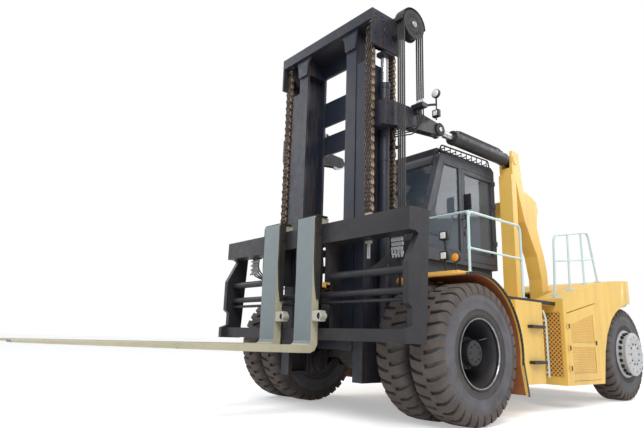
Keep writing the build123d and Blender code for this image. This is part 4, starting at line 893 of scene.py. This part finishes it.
def square_lamp(shape, x, y, z, half):
    """A square work lamp: black shell, pale lens and a pin at its foot."""
    shape.box((x - half, x + half), (y - 0.028, y + 0.05), (z - half, z + half), 0.012, material=0,
              segments=2)
    shape.box((x - half + 0.022, x + half - 0.022), (y - 0.034, y - 0.020),
              (z - half + 0.022, z + half - 0.022),
              0.006, material=1)
    shape.rod((x, y + 0.01, z - half - 0.045), (x, y + 0.01, z - half + 0.004), 0.012, sides=10)


def round_lamp(shape, x, y, z, radius, lens):
    """A round lamp that looks forward, with a domed lens."""
    shape.rod((x, y + 0.05, z), (x, y - 0.005, z), radius, sides=28, bevel=0.006, material=0)
    flat = Matrix.Translation((x, y - 0.004, z)) @ Matrix.Diagonal((1, 0.42, 1, 1))
    dome = bmesh.ops.create_uvsphere(shape.mesh, u_segments=24, v_segments=12, radius=radius * 0.88,
                                     matrix=flat)
    shape.tint({face for vert in dome["verts"] for face in vert.link_faces}, lens)


class FORKLIFT_OT_lamps(bpy.types.Operator):
    """Work lamps and orange lamps of the deck, and the lamps of the mast arm"""
    bl_idname = "forklift.lamps"
    bl_label = "Lamps"

    def execute(self, context):
        deck = Shape()
        for _, side in SIDES:
            square_lamp(deck, side * 1.430, 0.280, 2.640, 0.070)
            square_lamp(deck, side * 1.430, 0.280, 2.330, 0.070)
            deck.rod((side * 1.430, 0.300, 2.080), (side * 1.430, 0.300, 2.262), 0.014, sides=12)
            deck.rod((side * 1.430, 0.320, 2.396), (side * 1.430, 0.300, 2.570), 0.014, sides=12)
            deck.rod((side * 1.620, 0.300, 2.080), (side * 1.620, 0.300, 2.225), 0.016, sides=12)
            round_lamp(deck, side * 1.620, 0.285, 2.290, 0.072, 2)
        deck.done("deck_lamp_set", "lamp", ("black_paint", "lamp_lens", "amber_lens"), body="chassis",
                  replaced=["deck_lamps"])
        mast = Shape()
        for _, side in SIDES:
            mast.box((side * 1.262, side * 1.330), (-0.20, -0.10), (4.540, 4.640), 0.008)
            mast.pipe([(side * 1.300, -0.15, 4.640), (side * 1.340, 0.10, 4.760),
                       (side * 1.370, 0.24, 4.800)], 0.020,
                      bend=0.06)
            mast.rod((side * 1.370, 0.24, 4.780), (side * 1.370, 0.24, 4.930), 0.014, sides=12)
            round_lamp(mast, side * 1.370, 0.215, 4.990, 0.075, 1)
            mast.rod((side * 1.370, 0.24, 4.800), (side * 1.370, 0.24, 4.680), 0.011, sides=12)
            square_lamp(mast, side * 1.370, 0.225, 4.640, 0.062)
        mast.done("mast_lamps", "black", ("black_paint", "lamp_lens"), body="mast_outer")
        return {"FINISHED"}


def bar_between(shape, x, start, end, width, depth, material=0):
    """A flat strip in a plane of constant x between two (y, z) points."""
    (y0, z0), (y1, z1) = start, end
    length = math.hypot(y1 - y0, z1 - z0)
    matrix = (Matrix.Translation((x, (y0 + y1) / 2, (z0 + z1) / 2))
              @ Matrix.Rotation(math.atan2(z1 - z0, y1 - y0), 4, "X")
              @ Matrix.Diagonal((depth, length + width * 0.8, width, 1.0)))
    shape.cube(matrix, 0.002, material)


SIDE_WINDOW = ((0.640, 3.240), (0.900, 4.060), (1.330, 4.060), (1.330, 2.560), (0.430, 2.560), (0.330, 2.800),
               (0.480, 3.090))


class FORKLIFT_OT_cab(bpy.types.Operator):
    """Rubber seals, door fittings, mirrors, wiper and roof bars of the cab"""
    bl_idname = "forklift.cab"
    bl_label = "Cab fittings"

    def execute(self, context):
        seals = Shape()
        for _, side in SIDES:
            ends = list(zip(SIDE_WINDOW, (*SIDE_WINDOW[1:], SIDE_WINDOW[0])))
            for start, end in ends:
                bar_between(seals, side * 0.9985, start, end, 0.030, 0.006)
        for y, z0, z1 in ((0.492, 3.262, 3.290), (0.755, 4.030, 4.058)):
            seals.box((-0.885, 0.885), (y, y + 0.012), (z0, z1), 0.003)
        for x in (-0.880, 0.880):
            seals.plate([(0.496, 3.262), (0.520, 3.262), (0.796, 4.058), (0.772, 4.058)], x - 0.012,
                        x + 0.012)
        for z in (2.765, 4.030):
            seals.box((-0.865, 0.865), (2.4385, 2.4480), (z - 0.014, z + 0.014), 0.003)
        for x in (-0.860, 0.860):
            seals.box((x - 0.014, x + 0.014), (2.4385, 2.4480), (2.765, 4.030), 0.003)
        seals.done("window_seals", "black", ("hose_rubber",), body="chassis")

        wiper = Shape()
        wiper.rod((0.25, 0.470, 3.200), (0.25, 0.440, 3.190), 0.022, sides=16, bevel=0.003)
        wiper.pipe([(0.25, 0.455, 3.200), (0.02, 0.560, 3.560), (-0.12, 0.640, 3.820)], 0.007, bend=0.05)
        wiper.pipe([(-0.02, 0.545, 3.480), (-0.14, 0.655, 3.860)], 0.008, material=1)
        wiper.done("front_wiper", "black", ("black_paint", "hose_rubber"), body="chassis")

        for side_name, side in SIDES:
            door = Shape()
            inner = ((1.480, 2.590), (1.480, 4.000), (2.320, 4.000), (2.320, 2.590))
            for start, end in zip(inner, (*inner[1:], inner[0])):
                bar_between(door, side * 0.9985, start, end, 0.028, 0.006, material=1)
            door.pipe([(side * 1.000, 1.455, 3.000), (side * 1.045, 1.455, 3.000),
                       (side * 1.045, 1.455, 3.220),
                       (side * 1.000, 1.455, 3.220)], 0.011, bend=0.03)
            door.box((side * 0.998, side * 1.012), (1.425, 1.475), (2.860, 2.950), 0.004)
            door.done(f"door_fittings_{side_name}", "cab_grey", ("black_paint", "hose_rubber"),
                      body=f"cab_door_{side_name}")

        mirrors = Shape()
        for _, side in SIDES:
            mirrors.pipe([(side * 0.998, 1.370, 3.130), (side * 1.120, 1.350, 3.150),
                          (side * 1.150, 1.340, 3.300)], 0.012, bend=0.05)
            mirrors.box((side * 1.080, side * 1.230), (1.315, 1.350), (3.280, 3.560), 0.014, segments=2)
            mirrors.box((side * 1.092, side * 1.218), (1.349, 1.353), (3.294, 3.546), 0.0, material=1)
        mirrors.done("cab_mirrors", "black", ("black_paint", "chrome_rod"), body="chassis")

        roof = Shape()
        for y in (1.00, 1.22, 1.44, 1.66, 1.88, 2.10):
            roof.box((-0.850, 0.850), (y, y + 0.028), (4.345, 4.370), 0.003)
        for side in (1, -1):
            roof.box((side * 0.840, side * 0.862), (0.900, 2.300), (4.330, 4.370), 0.004)
            roof.pipe([(side * 0.955, 0.860, 4.300), (side * 0.955, 0.900, 4.395),
                       (side * 0.955, 2.330, 4.440),
                       (side * 0.955, 2.370, 4.290)], 0.014, bend=0.04)
            for index in range(9):
                y = 1.000 + index * 0.160
                roof.rod((side * 0.955, y, 4.225 + (y - 0.85) * 0.0464),
                         (side * 0.955, y, 4.398 + (y - 0.9) * 0.0315), 0.008, sides=8)
                roof.box((side * 0.840, side * 0.955), (y - 0.012, y + 0.012), (4.358, 4.372), 0.002)
            roof.pipe([(side * 0.900, 0.700, 4.050), (side * 0.900, 0.830, 4.300),
                       (side * 0.860, 0.910, 4.345)],
                      0.013, bend=0.05)
        roof.done("roof_bars", "black", ("black_paint",), body="chassis")
        return {"FINISHED"}


def cushion(shape, x, y, z, lean=0.0, crown=0.028, material=0):
    """A crowned pad whose sides pull in between its corners."""
    made = bmesh.ops.create_cube(shape.mesh, size=1.0)["verts"]
    edges = list({edge for vert in made for edge in vert.link_edges})
    bmesh.ops.subdivide_edges(shape.mesh, edges=edges, cuts=9, use_grid_fill=True)
    island = [vert for vert in shape.mesh.verts if max(abs(value) for value in vert.co) <= 0.5001]
    width, depth, height = x[1] - x[0], y[1] - y[0], z[1] - z[0]
    for vert in island:
        across, along, up = (value * 2 for value in vert.co)
        round_off = max(abs(across), abs(along), abs(up)) / max(
            (abs(across) ** 5 + abs(along) ** 5 + abs(up) ** 5) ** 0.2, 1e-6)
        across, along, up = across * round_off, along * round_off, up * round_off
        dome = (1 - across ** 2) * (1 - along ** 2)
        seam = 1.0 - 0.35 * math.exp(-((abs(across) - 0.55) / 0.05) ** 2)
        place_x = (x[0] + x[1]) / 2 + across * width / 2 * (1 - 0.03 * (1 - along ** 2))
        place_y = (y[0] + y[1]) / 2 + along * depth / 2 * (1 - 0.03 * (1 - across ** 2))
        place_z = (z[0] + z[1]) / 2 + up * height / 2 * (1 - crown / height * (1 - dome * seam))
        vert.co = (place_x, place_y + lean * (place_z - z[0]), place_z)
    shape.tint({face for vert in island for face in vert.link_faces}, material)


class FORKLIFT_OT_seat(bpy.types.Operator):
    """The driver's seat: sprung base, padded cushion, back and armrests"""
    bl_idname = "forklift.seat"
    bl_label = "Driver's seat"

    def execute(self, context):
        base = Shape()
        base.box((-0.275, 0.275), (1.505, 2.055), (2.411, 2.470), 0.012, segments=2)
        for index in range(6):
            z = 2.472 + index * 0.034
            inset = 0.012 if index % 2 else 0.0
            base.box((-0.235 + inset, 0.235 - inset), (1.545 + inset, 2.015 - inset), (z, z + 0.033), 0.008)
        base.box((-0.255, 0.255), (1.520, 2.050), (2.678, 2.699), 0.008)
        for side in (1, -1):
            base.box((side * 0.250, side * 0.278), (1.640, 2.000), (2.930, 2.965), 0.012, segments=2)
            base.rod((side * 0.264, 1.990, 2.940), (side * 0.240, 2.060, 2.880), 0.014, sides=12)
        base.done("seat_base", "plastic", ("console_plastic",), body="chassis", replaced=["seat"])
        bottom = Shape()
        cushion(bottom, (-0.255, 0.255), (1.485, 2.065), (2.700, 2.838))
        bottom = bottom.done("seat_cushion", "seat", ("seat_cloth",), body="chassis", crease=80.0)
        back = Shape()
        cushion(back, (-0.245, 0.245), (1.975, 2.080), (2.842, 3.555), lean=0.225, crown=0.020)
        back = back.done("seat_back", "seat", ("seat_cloth",), body="chassis", crease=80.0)
        return {"FINISHED"}


class FORKLIFT_OT_carriage(bpy.types.Operator):
    """Fork hooks and positioner lugs, chain anchors, bolts and the carriage's valve block"""
    bl_idname = "forklift.carriage"
    bl_label = "Carriage fittings"

    def execute(self, context):
        for side_name, x_mid in (("left", 0.262), ("right", -0.612)):
            hooks = Shape()
            low, high = x_mid - 0.1925, x_mid + 0.1925
            for x0 in (low - 0.030, high + 0.002):
                hooks.plate([(-1.4693, 2.780), (-1.440, 2.800), (-1.3543, 2.800), (-1.3543, 1.600),
                             (-1.404, 1.600), (-1.440, 1.800), (-1.4693, 2.150)], x0, x0 + 0.028, 0.004,
                            material=0)
            hooks.box((low - 0.030, high + 0.030), (-1.449, -1.240), (2.8003, 2.825), 0.006, material=0)
            hooks.box((high + 0.0003, high + 0.180), (-1.474, -1.360), (1.290, 1.440), 0.010, material=1)
            hooks.rod((high + 0.160, -1.4740, 1.365), (high + 0.160, -1.3610, 1.365), 0.050, sides=28,
                      bevel=0.006, material=1)
            hooks.rod((high + 0.160, -1.4775, 1.365), (high + 0.160, -1.4700, 1.365), 0.020, sides=24,
                      bevel=0.003, material=2)
            hooks.rod((high + 0.020, -1.400, 2.560), (high + 0.042, -1.400, 2.560), 0.034, sides=20,
                      bevel=0.004, material=2)
            hooks.done(f"fork_hooks_{side_name}", "cream", ("cast_iron", "cream_paint", "black_paint"),
                       body=f"fork_{side_name}", replaced=[f"fork_carrier_{side_name}"])
        fittings = Shape()
        for _, side in SIDES:
            x = side * CHAIN_X
            fittings.box((x - 0.075, x + 0.075), (-0.975, -0.905), (2.660, 2.745), 0.008, material=1)
            fittings.box((x - 0.062, x + 0.062), (-0.970, -0.910), (2.745, 2.845), 0.008, material=1)
            fittings.rod((x, -0.940, 2.180), (x, -0.940, 2.490), 0.027, sides=20, material=0)
            for turn in range(6):
                fittings.rod((x, -0.940, 2.205 + turn * 0.028), (x, -0.940, 2.216 + turn * 0.028), 0.0285,
                             sides=20)
            fittings.rod((x, -0.940, 2.395), (x, -0.940, 2.436), 0.054, sides=6, bevel=0.004, material=1)
            fittings.rod((x, -0.940, 2.440), (x, -0.940, 2.479), 0.054, sides=6, bevel=0.004, material=1)
        fittings.done("chain_anchor_rods", "cream", ("chrome_rod", "cream_paint"), body="carriage",
                      replaced=["chain_anchors"])
        block = Shape()
        for _, side in SIDES:
            block.box((side * 1.560, side * 1.780), (-1.100, -1.000), (2.400, 2.560), 0.010, material=0)
            for index in range(4):
                x = side * (1.590 + index * 0.052)
                block.rod((x, -1.050, 2.400), (x, -1.050, 2.345), 0.017, sides=6, bevel=0.002, material=1)
                block.pipe([(x, -1.050, 2.350), (x, -1.055, 2.220 - 0.03 * index),
                            (x - side * 0.25, -1.075, 2.05),
                            (x - side * 0.55, -1.080, 1.960)], 0.013, bend=0.12, material=2)
                block.rod((x, -1.000, 2.430 + 0.03 * index), (x, -0.975, 2.430 + 0.03 * index), 0.015,
                          sides=6, bevel=0.002, material=1)
            for index, x in enumerate(HOSE_X):
                block.rod((side * x, -0.620, 2.598), (side * x, -0.620, 2.540), 0.021, sides=6, bevel=0.002,
                          material=3)
                block.pipe([(side * x, -0.620, 2.590), (side * x, -0.620, 2.500),
                            (side * (x + 0.08), -0.800, 2.470),
                            (side * (1.590 + index * 0.052), -1.000, 2.440)], 0.0125, bend=0.05, material=2)
                for level in range(4):
                    hub = Vector((side * (1.590 + index * 0.052 + 0.010 * (level % 2)), -1.052,
                                  2.385 - level * 0.060))
                    block.rod(hub, hub - Vector((0.0, 0.0, 0.045)), 0.023, sides=6, bevel=0.002, material=3)
                    block.rod(hub - Vector((0.0, 0.0, 0.022)),
                              hub + Vector((side * 0.030, -0.034, -0.022 - 0.02 * level)),
                              0.014, sides=8, bevel=0.002, material=3)
            for y, z in ((-1.250, 1.110), (-1.120, 1.110), (-1.230, 2.560), (-1.080, 2.560), (-1.150, 1.800)):
                block.rod((side * 2.139, y, z), (side * 2.1398, y, z), 0.030, sides=20, material=0)
        block.done("carriage_hydraulics", "black", ("black_paint", "worn_lip", "hose_rubber", "hub_paint"),
                   body="carriage")
        return {"FINISHED"}


class FORKLIFT_OT_mast(bpy.types.Operator):
    """Clamps, bolts, plates and guards of the two mast stages"""
    bl_idname = "forklift.mast"
    bl_label = "Mast fittings"

    def execute(self, context):
        outer = Shape()
        for _, side in SIDES:
            for z in (1.500, 2.600, 3.700, 4.900):
                outer.rod((side * 1.015, -0.600, z), (side * 1.015, -0.600, z + 0.045), 0.089, sides=32,
                          bevel=0.004)
                outer.box((side * 0.928, side * 0.955), (-0.640, -0.560), (z, z + 0.045), 0.003)
            outer.rod((side * 1.015, -0.600, 4.930), (side * 1.015, -0.600, 4.995), 0.092, sides=32,
                      bevel=0.006)
            for z in (4.790, 4.870, 5.080, 5.160):
                outer.rod((side * 0.700, -0.460, z), (side * 0.700, -0.446, z), 0.015, sides=6, bevel=0.002)
            for y, z in ((-0.80, 4.24), (-0.80, 4.54), (-0.70, 4.39)):
                outer.rod((side * 1.275, y, z), (side * 1.289, y, z), 0.018, sides=6, bevel=0.002)
            outer.rod((side * 1.275, 0.440, 4.450), (side * 1.300, 0.440, 4.450), 0.112, sides=40,
                      bevel=0.008, material=1)
            outer.rod((side * 1.298, 0.440, 4.450), (side * 1.306, 0.440, 4.450), 0.040, sides=24,
                      bevel=0.003, material=2)
        outer.done("outer_mast_fittings", "mast", ("mast_paint", "cast_iron", "worn_lip"), body="mast_outer")
        inner = Shape()
        for _, side in SIDES:
            for z in (5.600, 5.700, 5.960, 6.030):
                for y in (-0.95, -0.80):
                    inner.rod((side * 1.156, y, z), (side * 1.168, y, z), 0.015, sides=6, bevel=0.002)
            inner.rod((side * 1.155, SHEAVE_Y, SHEAVE_Z), (side * 1.172, SHEAVE_Y, SHEAVE_Z), 0.070, sides=32,
                      bevel=0.005)
            for index in range(12):
                angle = FULL_TURN * index / 12
                y, z = HOSE_Y + 0.15 * math.cos(angle), HOSE_Z + 0.15 * math.sin(angle)
                inner.rod((side * 1.460, y, z), (side * 1.464, y, z), 0.026, sides=16, bevel=0.001,
                          material=1)
            inner.rod((side * 1.458, HOSE_Y, HOSE_Z), (side * 1.476, HOSE_Y, HOSE_Z), 0.052, sides=28,
                      bevel=0.004, material=2)
        inner.done("inner_mast_fittings", "mast", ("mast_paint", "cast_iron", "worn_lip"), body="mast_inner")
        for side_name, side in SIDES:
            cylinder = Shape()
            x = side * 1.200
            cylinder.rod((x, 0.862, 4.450), (x, 0.960, 4.450), 0.123, sides=40, bevel=0.008)
            cylinder.rod((x, 2.380, 4.450), (x, 2.470, 4.450), 0.121, sides=40, bevel=0.008)
            for index in range(10):
                angle = FULL_TURN * index / 10
                place = Vector((x + 0.098 * math.cos(angle), 0.862, 4.450 + 0.098 * math.sin(angle)))
                cylinder.rod(place, place - Vector((0.0, 0.012, 0.0)), 0.011, sides=6, bevel=0.0015)
            cylinder.box((x - 0.045, x + 0.045), (0.955, 1.055), (4.560, 4.592), 0.006)
            cylinder.box((x - 0.045, x + 0.045), (2.290, 2.390), (4.560, 4.592), 0.006)
            for offset in (-0.020, 0.022):
                cylinder.pipe([(x + offset, 1.000, 4.585), (x + offset, 1.060, 4.612),
                               (x + offset, 2.300, 4.612),
                               (x + offset, 2.340, 4.585)], 0.012, bend=0.05, material=1)
            cylinder.done(f"tilt_cylinder_fittings_{side_name}", "black", ("black_paint", "hose_rubber"),
                          body=f"tilt_cylinder_{side_name}")
        return {"FINISHED"}


def rounded_copy(node, name, slot, material, body, picks, offset, segments, cuts=()):
    """A merged copy of a CAD node with corners cut by planes and picked edges rounded."""
    shape = Shape()
    mesh = shape.mesh
    mesh.from_mesh(NODES[node].data)
    bmesh.ops.translate(mesh, verts=mesh.verts, vec=-SHIFT)
    bmesh.ops.remove_doubles(mesh, verts=mesh.verts, dist=1e-4)
    for place, normal in cuts:
        cut = bmesh.ops.bisect_plane(mesh, geom=mesh.verts[:] + mesh.edges[:] + mesh.faces[:], plane_co=place,
                                     plane_no=normal, clear_outer=True)["geom_cut"]
        rim = [item for item in cut if isinstance(item, bmesh.types.BMEdge)]
        bmesh.ops.holes_fill(mesh, edges=rim, sides=0)
    bmesh.ops.dissolve_limit(mesh, angle_limit=math.radians(1.5), verts=mesh.verts, edges=mesh.edges)
    edges = [edge for edge in mesh.edges if len(edge.link_faces) == 2 and edge.is_convex
             and edge.calc_face_angle(0.0) > 0.35 and picks(*(vert.co for vert in edge.verts))]
    bmesh.ops.bevel(mesh, geom=edges, offset=offset, segments=segments, profile=0.5, affect="EDGES",
                    material=-1, clamp_overlap=True)
    bmesh.ops.triangulate(mesh, faces=mesh.faces)
    return shape.done(name, slot, (material,), body=body, replaced=[node], crease=30.0)


class FORKLIFT_OT_casting(bpy.types.Operator):
    """The counterweight with its rounded and falling rear corners"""
    bl_idname = "forklift.casting"
    bl_label = "Counterweight"

    def execute(self, context):
        cuts = [((side * 1.900, 6.150, 2.430), (side * 0.36, 0.34, 0.87)) for _, side in SIDES]
        rounded_copy("counterweight", "rounded_counterweight", "yellow", "yellow_paint", "chassis",
                     lambda a, b: min(a.z, b.z) > 1.95 and min(a.y, b.y) > 5.21, 0.060, 4, cuts)
        return {"FINISHED"}


FENDER_START = 104.0
FENDER_SWEEP = 112.0


class FORKLIFT_OT_trim(bpy.types.Operator):
    """Fender edges, front sills, step treads, seams and the round lamp under the deck"""
    bl_idname = "forklift.trim"
    bl_label = "Body trim"

    def execute(self, context):
        trim = Shape()
        for _, side in SIDES:
            steps = 30
            for index in range(steps):
                a0 = math.radians(FENDER_START - FENDER_SWEEP * index / steps)
                a1 = math.radians(FENDER_START - FENDER_SWEEP * (index + 1) / steps)
                # The second strip, a wide sheet inside the arc, is reddish brown: rust and painted shade
                # under the fender.
                for radius, width, depth, x, material in ((1.060, 0.034, 0.018, 2.1885, 2),
                                                          (1.046, 0.006, 0.92, 1.690, 3)):
                    start = (radius * math.cos(a0), HUB_Z + radius * math.sin(a0))
                    end = (radius * math.cos(a1), HUB_Z + radius * math.sin(a1))
                    bar_between(trim, side * x, start, end, width, depth, material)
            bar_between(trim, side * 2.1885, (1.060, 0.800), (1.163, 0.352), 0.034, 0.018, 2)
            # The straight inner sheet is reddish brown too: rust and painted shade.
            bar_between(trim, side * 1.690, (1.036, 0.780), (1.138, 0.358), 0.008, 0.92, 3)
            trim.box((side * 1.120, side * 1.690), (0.138, 0.152), (1.965, 2.078), 0.004, material=0)
            trim.box((side * 1.757, side * 1.772), (1.340, 2.960), (1.738, 1.801), 0.003, material=1)
            for z in (0.770, 1.320):
                trim.box((side * 1.898, side * 1.9925), (1.747, 2.153), (z - 0.002, z + 0.042), 0.004,
                         material=1)
            trim.pipe([(side * 1.925, 2.290, 0.560), (side * 1.925, 2.290, 1.500),
                       (side * 1.880, 2.290, 1.620)],
                      0.016, bend=0.05, material=4)
            for z in (0.620, 1.440):
                trim.box((side * 1.875, side * 1.930), (2.278, 2.302), (z, z + 0.03), 0.003, material=4)
            for z in (0.770, 1.320):
                for index in range(7):
                    y = 1.775 + index * 0.056
                    trim.box((side * 1.905, side * 1.988), (y, y + 0.022), (z + 0.040, z + 0.047), 0.002,
                             material=1)
            for x0, y0, y1, z0, z1 in ((1.899, 1.480, 1.488, 0.640, 1.700),
                                       (1.899, 2.180, 2.188, 0.480, 1.700),
                                       (1.899, 1.480, 2.188, 1.700, 1.708)):
                trim.box((side * x0, side * 1.9035), (y0, y1), (z0, z1), 0.001, material=0)
            for row in range(9):
                y = 0.960 + row * 0.04
                z = 2.080 - (y - 0.900) * 0.651 + 0.002
                trim.box((side * 1.340, side * 1.750), (y, y + 0.012), (z, z + 0.006), 0.001, material=1)
            trim.rod((side * 1.329, 2.660, 4.450), (side * 1.345, 2.660, 4.450), 0.085, sides=32, bevel=0.006,
                     material=0)
        trim.box((0.925, 1.140), (0.120, 0.150), (1.985, 2.015), 0.003, material=1)
        trim.box((0.925, 0.965), (-0.140, 0.150), (1.985, 2.015), 0.003, material=1)
        round_lamp(trim, 0.945, -0.170, 1.925, 0.080, 5)
        trim.rod((0.945, -0.174, 1.925), (0.945, -0.120, 1.925), 0.082, sides=28, bevel=0.006, material=1)
        trim.done("body_trim", "yellow", ("yellow_paint", "black_paint", "hose_rubber", "rusty_underside",
                                          "rail_paint", "amber_lens"), body="chassis")
        return {"FINISHED"}


FLOOR_SIZE = 120.0
FLOOR_GLOW = 0.38
LIGHTS_AIM = Vector((0.0, 0.0, 2.0))


class FORKLIFT_OT_stage(bpy.types.Operator):
    """Lays the floor, the lights and the camera"""
    bl_idname = "forklift.stage"
    bl_label = "Set the stage"

    def execute(self, context):
        scene = context.scene
        stage = scene.forklift_stage
        floor_mesh = bmesh.new()
        bmesh.ops.create_grid(floor_mesh, x_segments=1, y_segments=1, size=FLOOR_SIZE)
        mesh = bpy.data.meshes.new("floor")
        floor_mesh.to_mesh(mesh)
        floor_mesh.free()
        floor = bpy.data.objects.new("floor", mesh)
        scene.collection.objects.link(floor)
        mesh.materials.append(floor_finish())
        world = bpy.data.worlds.new("studio") if scene.world is None else scene.world
        scene.world = world
        world.use_nodes = True
        nodes = world.node_tree.nodes
        links = world.node_tree.links
        nodes.clear()
        light = nodes.new("ShaderNodeBackground")
        light.inputs["Color"].default_value = (0.93, 0.96, 1.0, 1.0)
        light.inputs["Strength"].default_value = stage.sky_strength
        seen = nodes.new("ShaderNodeBackground")
        seen.inputs["Color"].default_value = (1.0, 1.0, 1.0, 1.0)
        seen.inputs["Strength"].default_value = 1.0
        mix = nodes.new("ShaderNodeMixShader")
        output = nodes.new("ShaderNodeOutputWorld")
        links.new(seen_rays(nodes, links), mix.inputs["Fac"])
        links.new(light.outputs["Background"], mix.inputs[1])
        links.new(seen.outputs["Background"], mix.inputs[2])
        links.new(mix.outputs["Shader"], output.inputs["Surface"])
        for name, place, size, power in (("key", (9.0, -9.0, 12.0), 7.0, stage.key_power),
                                         ("fill", (-11.0, -6.0, 8.0), 8.0, stage.key_power * 0.35),
                                         ("back", (6.0, 12.0, 10.0), 8.0, stage.key_power * 0.5)):
            lamp = bpy.data.lights.new(name, "AREA")
            lamp.size = size
            lamp.energy = power
            holder = bpy.data.objects.new(name, lamp)
            scene.collection.objects.link(holder)
            holder.location = place
            holder.rotation_euler = (LIGHTS_AIM - Vector(place)).to_track_quat("-Z", "Y").to_euler()
        eye = bpy.data.cameras.new("camera")
        eye.lens = stage.focal_length
        eye.sensor_width = 36.0
        eye.clip_end = 500.0
        camera = bpy.data.objects.new("camera", eye)
        scene.collection.objects.link(camera)
        camera.matrix_world = aim((6.322, -7.393, 1.068), 49.873, 13.086, 1.720)
        scene.camera = camera
        scene.view_settings.view_transform = "Standard"
        return {"FINISHED"}


def seen_rays(nodes, links):
    """1 for rays from the camera, off gloss or through glass, and 0 for the rays of diffuse light."""
    path = nodes.new("ShaderNodeLightPath")
    seen = path.outputs["Is Camera Ray"]
    for name in ("Is Glossy Ray", "Is Transmission Ray"):
        either = nodes.new("ShaderNodeMath")
        either.operation = "MAXIMUM"
        links.new(seen, either.inputs[0])
        links.new(path.outputs[name], either.inputs[1])
        seen = either.outputs["Value"]
    return seen


def floor_finish():
    """A pale floor that looks near white away from the shadow.

    Its glow shows to the camera, in gloss and through glass, and adds no diffuse light to the machine.
    """
    tree = NodeTree("studio_floor")
    tree.plain(Base_Color=(0.90, 0.90, 0.90), Roughness=0.95, Emission_Color=(1.0, 1.0, 1.0))
    glow = tree.maths("MULTIPLY", seen_rays(tree.nodes, tree.links), FLOOR_GLOW)
    tree.link(glow, tree.shader.inputs["Emission Strength"])
    return tree.material


class FORKLIFT_PT_panel(bpy.types.Panel):
    """Settings and steps of the forklift"""
    bl_idname = "FORKLIFT_PT_panel"
    bl_label = "Forklift"
    bl_space_type = "VIEW_3D"
    bl_region_type = "UI"
    bl_category = "Forklift"

    def draw(self, context):
        for group in (context.scene.forklift_paint, context.scene.forklift_wear,
                      context.scene.forklift_stage):
            for name in group.bl_rna.properties.keys():
                if name not in ("rna_type", "name"):
                    self.layout.prop(group, name)
        for step in STEPS:
            self.layout.operator(step.bl_idname)


GROUPS = (ForkliftPaint, ForkliftWear, ForkliftStage)
STEPS = (FORKLIFT_OT_paint, FORKLIFT_OT_tyres, FORKLIFT_OT_rims, FORKLIFT_OT_chains,
         FORKLIFT_OT_hoses, FORKLIFT_OT_rails, FORKLIFT_OT_grilles, FORKLIFT_OT_lamps,
         FORKLIFT_OT_cab, FORKLIFT_OT_seat, FORKLIFT_OT_carriage, FORKLIFT_OT_mast, FORKLIFT_OT_trim,
         FORKLIFT_OT_casting, FORKLIFT_OT_stage)


def register():
    for item in (*GROUPS, *STEPS, FORKLIFT_PT_panel):
        bpy.utils.register_class(item)
    bpy.types.Scene.forklift_paint = PointerProperty(type=ForkliftPaint)
    bpy.types.Scene.forklift_wear = PointerProperty(type=ForkliftWear)
    bpy.types.Scene.forklift_stage = PointerProperty(type=ForkliftStage)


def unregister():
    del bpy.types.Scene.forklift_stage
    del bpy.types.Scene.forklift_wear
    del bpy.types.Scene.forklift_paint
    for item in reversed((*GROUPS, *STEPS, FORKLIFT_PT_panel)):
        bpy.utils.unregister_class(item)


def main():
    """Runs every step in order."""
    register()
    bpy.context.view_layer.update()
    for step in STEPS:
        getattr(bpy.ops.forklift, step.bl_idname.split(".")[1])()


if __name__ == "__main__":
    main()
